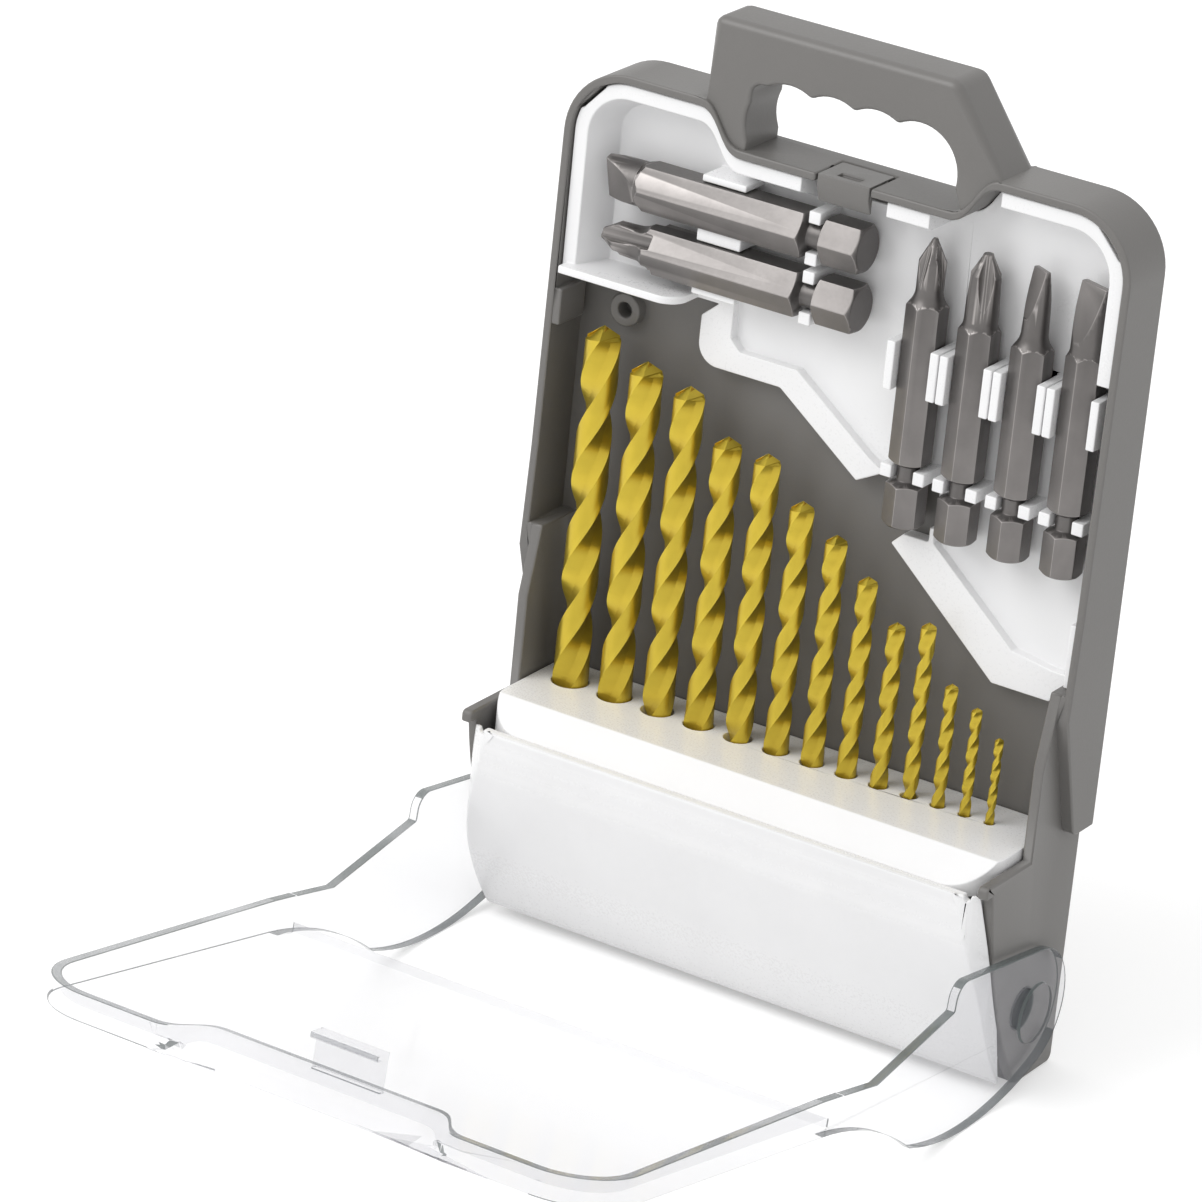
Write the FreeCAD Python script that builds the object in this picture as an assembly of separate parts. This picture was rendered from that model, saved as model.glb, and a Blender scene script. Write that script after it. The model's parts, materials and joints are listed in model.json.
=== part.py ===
"""Drill bit case, standing open: a moulded grey shell with an integral carry handle, a clear lid that
swings down about two stubs at the foot, a white tray with six driver bits, and a white drill holder
with thirteen twist drills that tips forward about the same axis.

Frame: Z up, the floor at z = 0, X across the case, -Y out of its open front. Lengths in millimetres.
"""

import math
import os

import FreeCAD
import Part

V = FreeCAD.Vector
X_AXIS = V(1, 0, 0)
Y_AXIS = V(0, 1, 0)
Z_AXIS = V(0, 0, 1)

# Contents: the bits and drills that set the size of the case
bit_length = 50.8
bit_flats = 6.35
wide_bit_flats = 7.94
bit_pitch = 10.1
wide_bit_pitch = 10.5
upright_count = 4
bit_side = 8.1
bit_aisle = 11.8
bit_edge = 8.0
largest_drill = 6.35
drill_step = 0.396875
longest_shown = 66.0
shown_share = (1.0, 0.939, 0.909, 0.806, 0.794, 0.697, 0.636, 0.552, 0.455, 0.482, 0.339, 0.297, 0.236)
drill_side = 11.1
drill_edge = 13.8
block_top = 44.6
ledge_headroom = 7.8
ledge_thick = 1.4
wide_bit_rise = 6.2
wide_bit_headroom = 18.9
bit_headroom = 13.8

case_width = bit_side + bit_length + bit_aisle + bit_pitch * (upright_count - 1) + bit_edge
case_half = case_width / 2
ledge_z = block_top + longest_shown + ledge_headroom + ledge_thick
wide_bit_low_z = ledge_z + wide_bit_rise
case_top = wide_bit_low_z + wide_bit_pitch + wide_bit_headroom
bit_foot_z = case_top - bit_headroom - bit_length
bit_first_x = case_half - bit_edge - bit_pitch * (upright_count - 1)

# Case
case_corner = 12.0
back_y = 7.0
panel_front_y = 3.6
panel_thick = 2.2
rim_wall = 1.5
back_frame = 4.0
rim_top_y = -5.3
rim_low_y = -6.5
rim_low_z = 86.0
overrun = 20.0

# Dip in the top edge, under the handle
dip_depth = 7.2
dip_floor_half = 20.0
dip_top_half = 29.0

# Hinge
hinge_y = -6.7
hinge_z = 14.7
stub_radius = 3.6
stub_reach = 2.4
stub_gap = 0.15
open_angle = 82.0
side_gap = 0.3
lid_skin = 1.9
wall = lid_skin + side_gap

# Lower cheeks, set in from the sides so that the lid's ears lie flush
cheek_wall = 2.0
shelf_z = 42.9
shelf_front_y = -24.6
shelf_edge_radius = 1.0
cheek_front_y = -9.8
cheek_rise_z = 60.0
cheek_top_y = -7.0
cheek_top_z = 72.5
cheek_mid_y = -17.4
cheek_mid_z = 22.0
cheek_toe_y = -8.8
cheek_toe_z = 4.4
layer_knee_y = -7.4
layer_knee_z = 68.0
layer_foot_y = -0.6
layer_foot_z = 46.9
layer_round_y = 0.2
layer_round_z = 45.5
layer_end_y = 1.7
layer_end_z = 44.9
foot_front_y = -5.5
foot_round = 1.5

# Handle
handle_rise = 14.4
handle_left = -28.0
handle_right = 18.5
handle_leg_right = 30.0
handle_leg_drop = 2.0
handle_front_y = -4.6
handle_back_y = 6.2
handle_crown = 4.0
handle_corner = 3.0
grip_rise = 4.6
grip_left = -19.5
grip_right = 16.4
grip_leg_right = 21.8
grip_corner = 2.0
scallop_first = -12.4
scallop_pitch = 8.3
scallop_depth = 1.2
scallop_count = 4

# Small features of the shell
boss_side = 11.3
boss_drop = 7.9
boss_radius = 3.0
boss_height = 2.2
boss_bore = 1.35
bracket_y = 2.2
bracket_depth = 8.0
bracket_drop = 11.2
bracket_height = 6.6
bracket_thick = 1.4

# Latch: a rocker in the floor of the dip, with a hook that hangs in front of the tray
latch_half = 5.0
latch_front_y = -5.2
latch_pivot_y = 0.0
latch_back_y = 3.2
latch_gap = 0.35
latch_thick = 2.2
lug_wall = 1.0
latch_pin = 0.7
latch_pin_reach = 1.4
latch_pin_gap = 0.08
grip_low_y = -3.7
grip_high_y = -1.9
grip_half = 2.2
grip_depth = 0.6
hook_thick = 1.5
hook_tip = 0.4
hook_drop = 2.8
keeper_half = 6.5
keeper_thick = 1.4
keeper_gap = 0.45
keeper_lip = 1.2
keeper_hold = 1.5

# Lid
lid_gap = 0.3
lid_dip = 0.8
lid_top_y = -10.2
lid_low_y = -13.6
lid_low_z = 79.5
ear_boss_radius = 5.4
ear_boss_height = 0.7
arm_back_y = 4.6
arm_top_gap = 0.4
arm_top_y = -0.4
arm_top_round = 3.2
arm_knee_gap = 0.5
belly_start_y = -16.4
belly_start_z = 9.2
belly_crest_y = -24.0
belly_crest_z = 33.0
arm_tip_y = -22.9
arm_tip_z = 51.5
hollow_mid_y = -16.9
hollow_mid_z = 65.0
hollow_end_z = 84.0

# Drill holder
block_front_y = -17.0
step_z = 40.2
block_skin = 2.0
holder_gap = 0.3
block_corner = 8.0
block_shelf = 38.6
cover_front_y = -24.6
cover_top_z = 40.4
cover_mid_y = -21.4
cover_mid_z = 21.0
cover_foot_y = -11.0
cover_foot_z = 1.6
cover_skin = 1.8
cover_gap = 0.2
wing_low_z = 13.5
cover_corner = 6.0
notch = 1.0
notch_side = 4.2

# Drills
drill_row_y = -4.2
socket_depth = 34.5
socket_wall = 1.5
hole_gap = 0.15

# Tray
tray_floor = 1.1
tray_lip_y = -4.6
tray_lip = 2.6
tray_lip_right = 1.6
side_lip_drop = 29.4
side_lip_foot = 6.8
dip_lip_x = 16.4
tray_slope = 2.4
tray_gap = 0.2
band_y = 0.6
band = 1.0
ledge_front_y = -7.0
ledge_round = 4.0

# Bits and their clips
bit_seat = 0.15
bit_end = 7.2
neck_length = 4.4
neck_bevel = 0.9
neck_clip_length = 2.3
neck_clip_wall = 2.2
neck_clip_rise = 2.35
clip_length = 8.6
clip_wall = 1.6
clip_rise = 3.6
wide_clip_rise = 1.55
wide_clip_wall = 1.2

# Shares of a drill's radius, of its diameter, and of a bit's sizes
flute_share = (1.0, 1.0, 0.62, 0.42, 0.62, 1.0, 1.0, 1.0, 0.62, 0.42, 0.62, 1.0)
lead_share = 4.9
chisel_share = 0.14
point_angle = 118.0
steps_per_turn = 12
shoulder_share = 2.4
ease_share = 0.35
neck_share = 0.6
clip_share = 0.47
wide_clip_share = 0.46
groove_share = 0.5
groove_out_share = 0.78
groove_run_share = 3.6
groove_lean = 12.0
blade_share = 0.2

# Each bit's shaft, as a share of its flats; where the shaft starts, as a share of its length; its cone or
# ground flat, in shaft radii; its end, as a share of the shaft; and the turn of its tip, in degrees
bit_shape_share = {
    "cross_small": (0.74, 0.765, 1.7, 0.16, -15),
    "cross": (0.9, 0.735, 1.3, 0.28, 30),
    "slot_small": (0.72, 0.725, 4.0, 0.84, -29),
    "slot": (0.97, 0.75, 3.2, 0.98, -20),
    "cross_wide": (0.78, 0.8, 1.1, 0.36, 30),
    "slot_wide": (0.99, 0.84, 1.9, 0.98, 60),
}

# Tray outline, from the case sides, the foot of the first bit, the ledge and the cheeks
ledge_reach = 26.0
tray_corner_z = 6.6
tray_corner_x = 6.9
corner_jog = 1.5
corner_pad_y = -4.9
corner_pad_gap = 0.37
notch_half = 8.2
notch_low_drop = 12.0
lobe_side_drop = 2.5
lobe_bevel = 6.5
lobe_drop = 5.5
lobe_inset = 19.2
lobe_top_left = 2.8
lobe_top_drop = 4.8
cut_out_drop = 2.6
cut_out_left = 0.6
cut_out_right = 4.2
cut_out_rise = 7.5
cut_out_top_left = 4.6
arm_left = 7.8
arm_rise = 5.7
arm_knee_left = 10.8
arm_knee_rise = 4.1
mid_low_left = 27.2
mid_drop = 12.8
mid_reach = 26.9
mid_round = 4.0
mid_top_reach = 30.1
mid_top_drop = 4.2
band_reach = 33.1
band_drop = 8.8
band_bend = 2.0
band_mid_left = 24.2
band_arm_left = 8.8
band_arm_rise = 8.8
band_lobe_inset = 16.0
band_lobe_rise = 1.3
band_low_inset = 8.2
band_low_rise = 0.1

dip_z = case_top - dip_depth
cheek_outer = case_half - wall
cheek_inner = cheek_outer - cheek_wall
cove_radius = panel_front_y - hinge_y
ear_radius = arm_back_y - hinge_y
block_half = cheek_inner - holder_gap
block_back_y = panel_front_y - holder_gap
block_radius = block_back_y - hinge_y
cover_half = cheek_outer - side_gap
arm_inner = case_half - lid_skin
latch_z = dip_z - latch_thick / 2
keeper_top_z = dip_z - latch_thick - hook_drop - keeper_gap
knee_slope = (layer_knee_y - rim_low_y) / (rim_low_z - layer_knee_z)
lid_rim_low_y = rim_low_y - lid_gap + (rim_low_z - lid_low_z) * knee_slope
handle_top = case_top + handle_rise
grip_low_z = case_top + grip_rise
tray_floor_y = panel_front_y - tray_floor
tray_side = case_half - rim_wall - tray_gap
tray_top = case_top - rim_wall - tray_gap


class Outline:
    """A closed flat outline. On plane "xz" or "xy" the first number is x, on plane "yz" it is y."""

    def __init__(self, plane, a, b):
        self.plane = plane
        self.first = self.last = self.point(a, b)
        self.edges = []

    def point(self, a, b):
        if self.plane == "xz":
            return V(a, 0, b)
        if self.plane == "yz":
            return V(0, a, b)
        return V(a, b, 0)

    def line(self, a, b):
        end = self.point(a, b)
        self.edges.append(Part.makeLine(self.last, end))
        self.last = end
        return self

    def arc(self, a, b, c, d):
        end = self.point(c, d)
        self.edges.append(Part.Arc(self.last, self.point(a, b), end).toShape())
        self.last = end
        return self

    def turn(self, centre, radius, start, stop):
        """An arc round centre from angle start to angle stop, in degrees."""
        mid = math.radians((start + stop) / 2)
        far = math.radians(stop)
        ca, cb = centre
        return self.arc(
            ca + radius * math.cos(mid),
            cb + radius * math.sin(mid),
            ca + radius * math.cos(far),
            cb + radius * math.sin(far),
        )

    def bend(self, a, b, c, d, e, f):
        end = self.point(e, f)
        curve = Part.BezierCurve()
        curve.setPoles([self.last, self.point(a, b), self.point(c, d), end])
        self.edges.append(curve.toShape())
        self.last = end
        return self

    def face(self):
        if not self.last.isEqual(self.first, 1e-9):
            self.edges.append(Part.makeLine(self.last, self.first))
        return Part.Face(Part.Wire(self.edges))


def along(face, axis, low, high):
    """The face, which lies at zero, pushed out along an axis from low to high."""
    moved = face.copy()
    moved.translate(axis * low)
    return moved.extrude(axis * (high - low))


def box(x0, x1, y0, y1, z0, z1):
    return Part.makeBox(x1 - x0, y1 - y0, z1 - z0, V(x0, y0, z0))


def rod(radius, start, axis, length):
    return Part.makeCylinder(radius, length, start, axis)


def case_outline(inset, low, dip=dip_depth):
    """The front view of the case, drawn in by inset, with its foot at height low and a dip in its top."""
    half = case_half - inset
    top = case_top - inset
    radius = case_corner - inset
    floor = top - dip
    ease = (dip_top_half - dip_floor_half) / 2
    path = Outline("xz", -half, low)
    path.line(-half, top - radius)
    path.turn((-half + radius, top - radius), radius, 180, 90)
    path.line(-dip_top_half, top)
    path.bend(-dip_top_half + ease, top, -dip_floor_half - ease, floor, -dip_floor_half, floor)
    path.line(dip_floor_half, floor)
    path.bend(dip_floor_half + ease, floor, dip_top_half - ease, top, dip_top_half, top)
    path.line(half - radius, top)
    path.turn((half - radius, top - radius), radius, 90, 0)
    path.line(half, low)
    return path.face()


def front_plan(half, front, radius):
    """A plan with its two front corners rounded, reaching back past the case."""
    path = Outline("xy", -half, back_y + overrun)
    path.line(-half, front + radius)
    path.turn((-half + radius, front + radius), radius, 180, 270)
    path.line(half - radius, front)
    path.turn((half - radius, front + radius), radius, 270, 360)
    path.line(half, back_y + overrun)
    return path.face()


def circle_through(p, q, r):
    """Centre and radius of the circle through three points."""
    ax, ay = q[0] - p[0], q[1] - p[1]
    bx, by = r[0] - p[0], r[1] - p[1]
    cross = 2 * (ax * by - ay * bx)
    u = (by * (ax * ax + ay * ay) - ay * (bx * bx + by * by)) / cross
    v = (ax * (bx * bx + by * by) - bx * (ax * ax + ay * ay)) / cross
    return (p[0] + u, p[1] + v), math.hypot(u, v)


def angle_at(centre, point):
    return math.degrees(math.atan2(point[1] - centre[1], point[0] - centre[0])) % 360


def at_height(centre, radius, z):
    """Angle, on the front side of a circle, of its point at height z."""
    return 180 - math.degrees(math.asin((z - centre[1]) / radius))


def at_angle(centre, radius, degrees):
    turn = math.radians(degrees)
    return centre[0] + radius * math.cos(turn), centre[1] + radius * math.sin(turn)


cheek_nose_y = cover_front_y + cover_skin + holder_gap
cheek_nose_z = cover_top_z + holder_gap
cover_centre, cover_radius = circle_through(
    (cover_front_y, cover_top_z), (cover_mid_y, cover_mid_z), (cover_foot_y, cover_foot_z)
)
cheek_centre, cheek_radius = circle_through(
    (cheek_toe_y, cheek_toe_z), (cheek_mid_y, cheek_mid_z), (cheek_nose_y, cheek_nose_z)
)


def shell_walls():
    """The tray-shaped upper part: back panel, side walls and top wall with the dip."""
    side = Outline("yz", back_y, case_top + overrun)
    side.line(rim_top_y, case_top + overrun).line(rim_top_y, case_top)
    side.line(rim_low_y, rim_low_z).line(layer_knee_y, layer_knee_z)
    side.line(layer_foot_y, layer_foot_z)
    side.arc(layer_round_y, layer_round_z, layer_end_y, layer_end_z)
    side.line(back_y, layer_end_z)
    body = along(case_outline(0, 0), Y_AXIS, -overrun, back_y)
    body = body.common(along(side.face(), X_AXIS, -case_half, case_half))
    body = body.fuse(handle())
    for inset, low in ((wall, 0), (rim_wall, cheek_top_z)):
        body = body.cut(along(case_outline(inset, low), Y_AXIS, -overrun, panel_front_y))
    return body


def cheek_face():
    path = Outline("yz", back_y, cheek_top_z)
    path.line(back_y, foot_round)
    path.turn((back_y - foot_round, foot_round), foot_round, 0, -90)
    path.line(foot_front_y, 0)
    path.line(cheek_toe_y, cheek_toe_z)
    path.arc(cheek_mid_y, cheek_mid_z, cheek_nose_y, cheek_nose_z)
    path.line(shelf_front_y, cheek_nose_z)
    path.line(shelf_front_y, shelf_z - shelf_edge_radius)
    edge = (shelf_front_y + shelf_edge_radius, shelf_z - shelf_edge_radius)
    path.turn(edge, shelf_edge_radius, 180, 90)
    path.line(cheek_front_y, shelf_z)
    path.line(cheek_front_y, cheek_rise_z)
    path.line(cheek_top_y, cheek_top_z)
    return path.face()


def foot_face():
    """The floor of the shell: flat below, hollowed round the hinge for the holder above."""
    rise = math.sqrt(cove_radius**2 - (foot_front_y - hinge_y) ** 2)
    start = -math.degrees(math.atan2(rise, foot_front_y - hinge_y))
    path = Outline("yz", foot_front_y, 0)
    path.line(back_y - foot_round, 0)
    path.turn((back_y - foot_round, foot_round), foot_round, -90, 0)
    path.line(back_y, hinge_z)
    path.line(panel_front_y, hinge_z)
    path.turn((hinge_y, hinge_z), cove_radius, 0, start)
    return path.face()


def handle():
    low = dip_z - wall
    path = Outline("xz", handle_left, low)
    path.line(handle_left, handle_top - handle_corner)
    path.turn((handle_left + handle_corner, handle_top - handle_corner), handle_corner, 180, 90)
    path.line(handle_right, handle_top)
    path.line(handle_leg_right, case_top - handle_leg_drop)
    path.line(handle_leg_right, low)
    solid = along(path.face(), Y_AXIS, handle_front_y, handle_back_y)
    profile = Outline("yz", handle_front_y, low)
    profile.line(handle_front_y, handle_top - handle_crown)
    profile.turn((handle_front_y + handle_crown, handle_top - handle_crown), handle_crown, 180, 90)
    profile.line(handle_back_y - handle_corner, handle_top)
    profile.turn((handle_back_y - handle_corner, handle_top - handle_corner), handle_corner, 90, 0)
    profile.line(handle_back_y, low)
    solid = solid.common(along(profile.face(), X_AXIS, -case_half, case_half))
    hole = Outline("xz", grip_left, dip_z)
    hole.line(grip_left, grip_low_z - grip_corner)
    hole.turn((grip_left + grip_corner, grip_low_z - grip_corner), grip_corner, 180, 90)
    hole.line(grip_right, grip_low_z)
    hole.line(grip_leg_right, dip_z)
    solid = solid.cut(along(hole.face(), Y_AXIS, -overrun, overrun))
    half = scallop_pitch / 2
    radius = (half**2 + scallop_depth**2) / (2 * scallop_depth)
    for i in range(scallop_count):
        x = scallop_first + i * scallop_pitch
        start = V(x, -overrun, grip_low_z + scallop_depth - radius)
        solid = solid.cut(rod(radius, start, Y_AXIS, 2 * overrun))
    return solid


def latch_slot():
    half = latch_half + latch_gap
    slot = box(-half, half, -overrun, latch_back_y + latch_gap, dip_z - latch_thick, dip_z + latch_gap)
    reach = half + latch_pin_reach
    bore = rod(latch_pin + latch_pin_gap, V(-reach, latch_pivot_y, latch_z), X_AXIS, 2 * reach)
    return slot.fuse(bore)


def latch_lugs():
    """The thickening under the floor of the dip that carries the rocker's pins."""
    reach = latch_half + latch_gap + latch_pin_reach + lug_wall
    depth = latch_pin + lug_wall
    return box(
        -reach,
        reach,
        latch_pivot_y - depth,
        latch_pivot_y + depth,
        dip_z - latch_thick,
        dip_z - rim_wall / 2,
    )


def corner_pads():
    """The two low pads of the shell that show where the corners of the tray are cut off."""
    pads = []
    within = along(case_outline(rim_wall / 2, 0), Y_AXIS, corner_pad_y, panel_front_y)
    jog_z = tray_top - tray_corner_z + corner_jog / 2
    low_z = tray_top - tray_corner_z + corner_pad_gap
    for side in (-1, 1):
        x = side * (tray_side - tray_corner_x + corner_jog + corner_pad_gap)
        path = Outline("xz", x, tray_top + overrun)
        path.line(x, tray_top - corner_jog + corner_pad_gap)
        path.line(side * (tray_side - corner_jog + corner_pad_gap), jog_z + corner_pad_gap)
        path.line(side * (tray_side + corner_pad_gap), low_z)
        path.line(side * case_width, low_z).line(side * case_width, tray_top + overrun)
        pads.append(within.common(along(path.face(), Y_AXIS, corner_pad_y, panel_front_y)))
    return pads


def back_shell():
    body = shell_walls().fuse(latch_lugs())
    for pad in corner_pads():
        body = body.fuse(pad)
    for side in (-1, 1):
        edges = sorted((side * cheek_inner, side * cheek_outer))
        body = body.fuse(along(cheek_face(), X_AXIS, *edges))
    panel_back_y = panel_front_y + panel_thick
    low_panel = box(-cheek_outer, cheek_outer, panel_front_y, panel_back_y, 0, layer_end_z + wall)
    foot = along(foot_face(), X_AXIS, -cheek_outer, cheek_outer)
    body = body.fuse(low_panel).fuse(foot)
    field = case_outline(back_frame, hinge_z)
    body = body.cut(along(field, Y_AXIS, panel_back_y, back_y + overrun))
    body = body.cut(latch_slot())
    bore = rod(stub_radius + stub_gap, V(-case_half, hinge_y, hinge_z), X_AXIS, case_width)
    body = body.cut(bore)
    boss = V(boss_side - case_half, panel_front_y, ledge_z - boss_drop)
    body = body.fuse(rod(boss_radius, boss, -Y_AXIS, boss_height))
    body = body.cut(rod(boss_bore, boss - Y_AXIS * boss_height, Y_AXIS, boss_height + wall / 2))
    low = ledge_z - bracket_drop
    bracket = box(
        -case_half + rim_wall / 2,
        -case_half + rim_wall + bracket_thick,
        bracket_y - bracket_depth,
        bracket_y,
        low,
        low + bracket_height,
    )
    return body.fuse(bracket).removeSplitter()


def latch_rocker():
    """The rocker, its hook with a lead-in slope to the front, its pins and a grip on top."""
    under = dip_z - latch_thick
    hook_back_y = latch_front_y + hook_thick
    path = Outline("yz", latch_front_y, dip_z)
    path.line(latch_front_y, under)
    path.line(hook_back_y - hook_tip, under - hook_drop)
    path.line(hook_back_y, under - hook_drop)
    path.line(hook_back_y, under)
    path.line(latch_back_y, under)
    path.line(latch_back_y, dip_z)
    body = along(path.face(), X_AXIS, -latch_half, latch_half)
    reach = latch_half + latch_pin_reach
    body = body.fuse(rod(latch_pin, V(-reach, latch_pivot_y, latch_z), X_AXIS, 2 * reach))
    grip = box(-grip_half, grip_half, grip_low_y, grip_high_y, dip_z - grip_depth, dip_z)
    return body.cut(grip).removeSplitter()


def arm_face():
    """The side plate of the lid, drawn with the lid shut."""
    slope = (lid_top_y - lid_low_y) / (case_top - lid_low_z)
    front_y = lid_low_y + (hollow_end_z - lid_low_z) * slope
    top_z = layer_end_z - arm_top_gap
    hinge = (hinge_y, hinge_z)
    start = angle_at(hinge, (belly_start_y, belly_start_z))
    path = Outline("yz", rim_low_y - lid_gap, rim_low_z)
    path.line(layer_knee_y - arm_knee_gap, layer_knee_z)
    path.line(arm_top_y, top_z)
    path.line(arm_back_y - arm_top_round, top_z)
    path.turn((arm_back_y - arm_top_round, top_z - arm_top_round), arm_top_round, 90, 0)
    path.line(arm_back_y, hinge_z)
    path.turn(hinge, ear_radius, 0, start - 360)
    path.arc(belly_crest_y, belly_crest_z, arm_tip_y, arm_tip_z)
    path.arc(hollow_mid_y, hollow_mid_z, front_y, hollow_end_z)
    return path.face()


def lid_block(inset, skin):
    """The front view of the lid, drawn in by inset; the dip runs out from the rim to the front."""
    wires = []
    for y, dip in ((rim_top_y - lid_gap, dip_depth), (lid_top_y + skin, lid_dip)):
        wire = case_outline(inset, lid_low_z, dip).OuterWire
        wire.translate(Y_AXIS * y)
        wires.append(wire)
    front = along(case_outline(inset, lid_low_z, lid_dip), Y_AXIS, -overrun, lid_top_y + skin)
    back = along(case_outline(inset, lid_low_z), Y_AXIS, rim_top_y - lid_gap, 0)
    return Part.makeLoft(wires, True, True).fuse(front).fuse(back)


def lid_shut():
    rim = Outline("yz", lid_top_y, case_top + overrun)
    rim.line(lid_top_y, case_top).line(lid_low_y, lid_low_z)
    rim.line(lid_rim_low_y, lid_low_z).line(rim_low_y - lid_gap, rim_low_z)
    rim.line(rim_top_y - lid_gap, case_top).line(rim_top_y - lid_gap, case_top + overrun)
    body = lid_block(0, 0).common(along(rim.face(), X_AXIS, -case_half, case_half))
    hollow = Outline("yz", lid_top_y + lid_skin, case_top + overrun)
    hollow.line(lid_top_y + lid_skin, case_top).line(lid_low_y + lid_skin, lid_low_z)
    hollow.line(0, lid_low_z).line(0, case_top + overrun)
    pocket = lid_block(lid_skin, lid_skin)
    body = body.cut(pocket.common(along(hollow.face(), X_AXIS, -case_half, case_half)))
    plate = arm_face()
    for side in (-1, 1):
        edges = sorted((side * arm_inner, side * case_half))
        body = body.fuse(along(plate, X_AXIS, *edges))
        outward = X_AXIS * side
        tip = V(side * (cheek_inner - stub_reach), hinge_y, hinge_z)
        body = body.fuse(rod(stub_radius, tip, outward, arm_inner - cheek_inner + stub_reach))
        face = V(side * case_half, hinge_y, hinge_z)
        body = body.fuse(rod(ear_boss_radius, face, outward, ear_boss_height))
    back = latch_front_y + hook_thick + keeper_gap + keeper_lip
    lip_top = keeper_top_z + keeper_gap + keeper_hold
    shelf = box(-keeper_half, keeper_half, lid_top_y, back, keeper_top_z - keeper_thick, keeper_top_z)
    lip = box(-keeper_half, keeper_half, back - keeper_lip, back, keeper_top_z, lip_top)
    return body.fuse(shelf).fuse(lip).removeSplitter()


def lid():
    body = lid_shut()
    body.rotate(V(0, hinge_y, hinge_z), X_AXIS, open_angle)
    return body


def cover_face(skin, reach_back):
    radius = cover_radius - skin
    foot = angle_at(cover_centre, (cover_foot_y, cover_foot_z))
    top = at_height(cover_centre, radius, cover_top_z)
    start = at_angle(cover_centre, radius, top)
    end = at_angle(cover_centre, radius, foot)
    path = Outline("yz", *start)
    path.turn(cover_centre, radius, top, foot)
    if reach_back:
        wing = cheek_radius + holder_gap
        low = at_height(cheek_centre, wing, wing_low_z)
        high = at_height(cheek_centre, wing, cover_top_z)
        path.line(*at_angle(cheek_centre, wing, low))
        path.turn(cheek_centre, wing, low, high)
    else:
        path.line(overrun, end[1])
        path.line(overrun, start[1])
    return path.face()


def front_cover():
    shape = along(cover_face(0, True), X_AXIS, -cover_half, cover_half)
    plan = front_plan(cover_half, cover_front_y, cover_corner)
    shape = shape.common(along(plan, Z_AXIS, -overrun, case_top))
    inner = along(cover_face(cover_skin, False), X_AXIS, -cover_half, cover_half)
    front = cover_front_y + cover_skin
    plan = front_plan(cover_half - cover_skin, front, cover_corner - cover_skin)
    inner = inner.common(along(plan, Z_AXIS, -overrun, case_top))
    shape = shape.cut(inner)
    for side in (-1, 1):
        edges = sorted((side * (cover_half - notch_side), side * (cover_half - notch_side + notch)))
        shape = shape.cut(box(*edges, cover_front_y, 0, cover_top_z - notch, cover_top_z))
    return shape.removeSplitter()


def drills():
    """Name, diameter, x and shown length of each drill, from the largest down, with even webs between."""
    sizes = [largest_drill - i * drill_step for i in range(len(shown_share))]
    span = sum(sizes) - (sizes[0] + sizes[-1]) / 2
    web = (case_width - drill_side - drill_edge - span) / (len(sizes) - 1)
    rows = []
    x = drill_side - case_half
    for i, size in enumerate(sizes):
        if i:
            x += (sizes[i - 1] + size) / 2 + web
        rows.append((f"drill_{i + 1:02d}", size, x, longest_shown * shown_share[i]))
    return rows


def block_profile():
    radius = cover_radius - cover_skin - cover_gap
    top = at_height(cover_centre, radius, step_z)
    foot = angle_at(cover_centre, (cover_foot_y, cover_foot_z))
    low = at_angle(cover_centre, radius, foot)
    hinge = (hinge_y, hinge_z)
    meet = angle_at(hinge, low)
    path = Outline("yz", block_back_y, block_top)
    path.line(block_front_y, block_top)
    path.line(*at_angle(cover_centre, radius, top))
    path.turn(cover_centre, radius, top, foot)
    path.line(*at_angle(hinge, block_radius, meet))
    path.turn(hinge, block_radius, meet, 360)
    return path.face()


def drill_block():
    outer = along(block_profile(), X_AXIS, -block_half, block_half)
    plan = front_plan(block_half, cover_front_y + cover_skin + cover_gap, block_corner)
    outer = outer.common(along(plan, Z_AXIS, -overrun, case_top))
    hinge = (hinge_y, hinge_z)
    inside = block_radius - block_skin
    back = hinge_y + inside
    hollow = Outline("yz", back, block_top - block_skin)
    hollow.line(block_front_y + block_skin, block_top - block_skin)
    hollow.line(-overrun, block_shelf).line(-overrun - overrun, block_shelf)
    hollow.line(-overrun - overrun, hinge_z - inside)
    hollow.line(hinge_y, hinge_z - inside)
    hollow.turn(hinge, inside, 270, 360)
    half = block_half - block_skin
    body = outer.cut(along(hollow.face(), X_AXIS, -half, half))
    foot = block_top - socket_depth
    for name, size, x, shown in drills():
        tube = rod(size / 2 + hole_gap + socket_wall, V(x, drill_row_y, 0), Z_AXIS, block_top)
        body = body.fuse(tube.common(outer))
    for side in (-1, 1):
        blind = cheek_inner - stub_reach - stub_gap
        start = V(side * (blind - block_skin), hinge_y, hinge_z)
        reach = block_half - blind + block_skin
        body = body.fuse(rod(stub_radius + stub_gap + block_skin, start, X_AXIS * side, reach))
        bore = V(side * blind, hinge_y, hinge_z)
        body = body.cut(rod(stub_radius + stub_gap, bore, X_AXIS * side, stub_reach + overrun))
    for name, size, x, shown in drills():
        body = body.cut(rod(size / 2 + hole_gap, V(x, drill_row_y, foot), Z_AXIS, block_top))
    return body.removeSplitter()


def twist_section(radius, z, turn):
    """One section of a two-flute drill, a coarse outline scaled to the radius and turned."""
    points = []
    for i in range(len(flute_share)):
        angle = math.radians(turn + i * 360 / len(flute_share))
        reach = radius * flute_share[i]
        points.append(V(reach * math.cos(angle), reach * math.sin(angle), z))
    return Part.makePolygon(points + points[:1])


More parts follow.
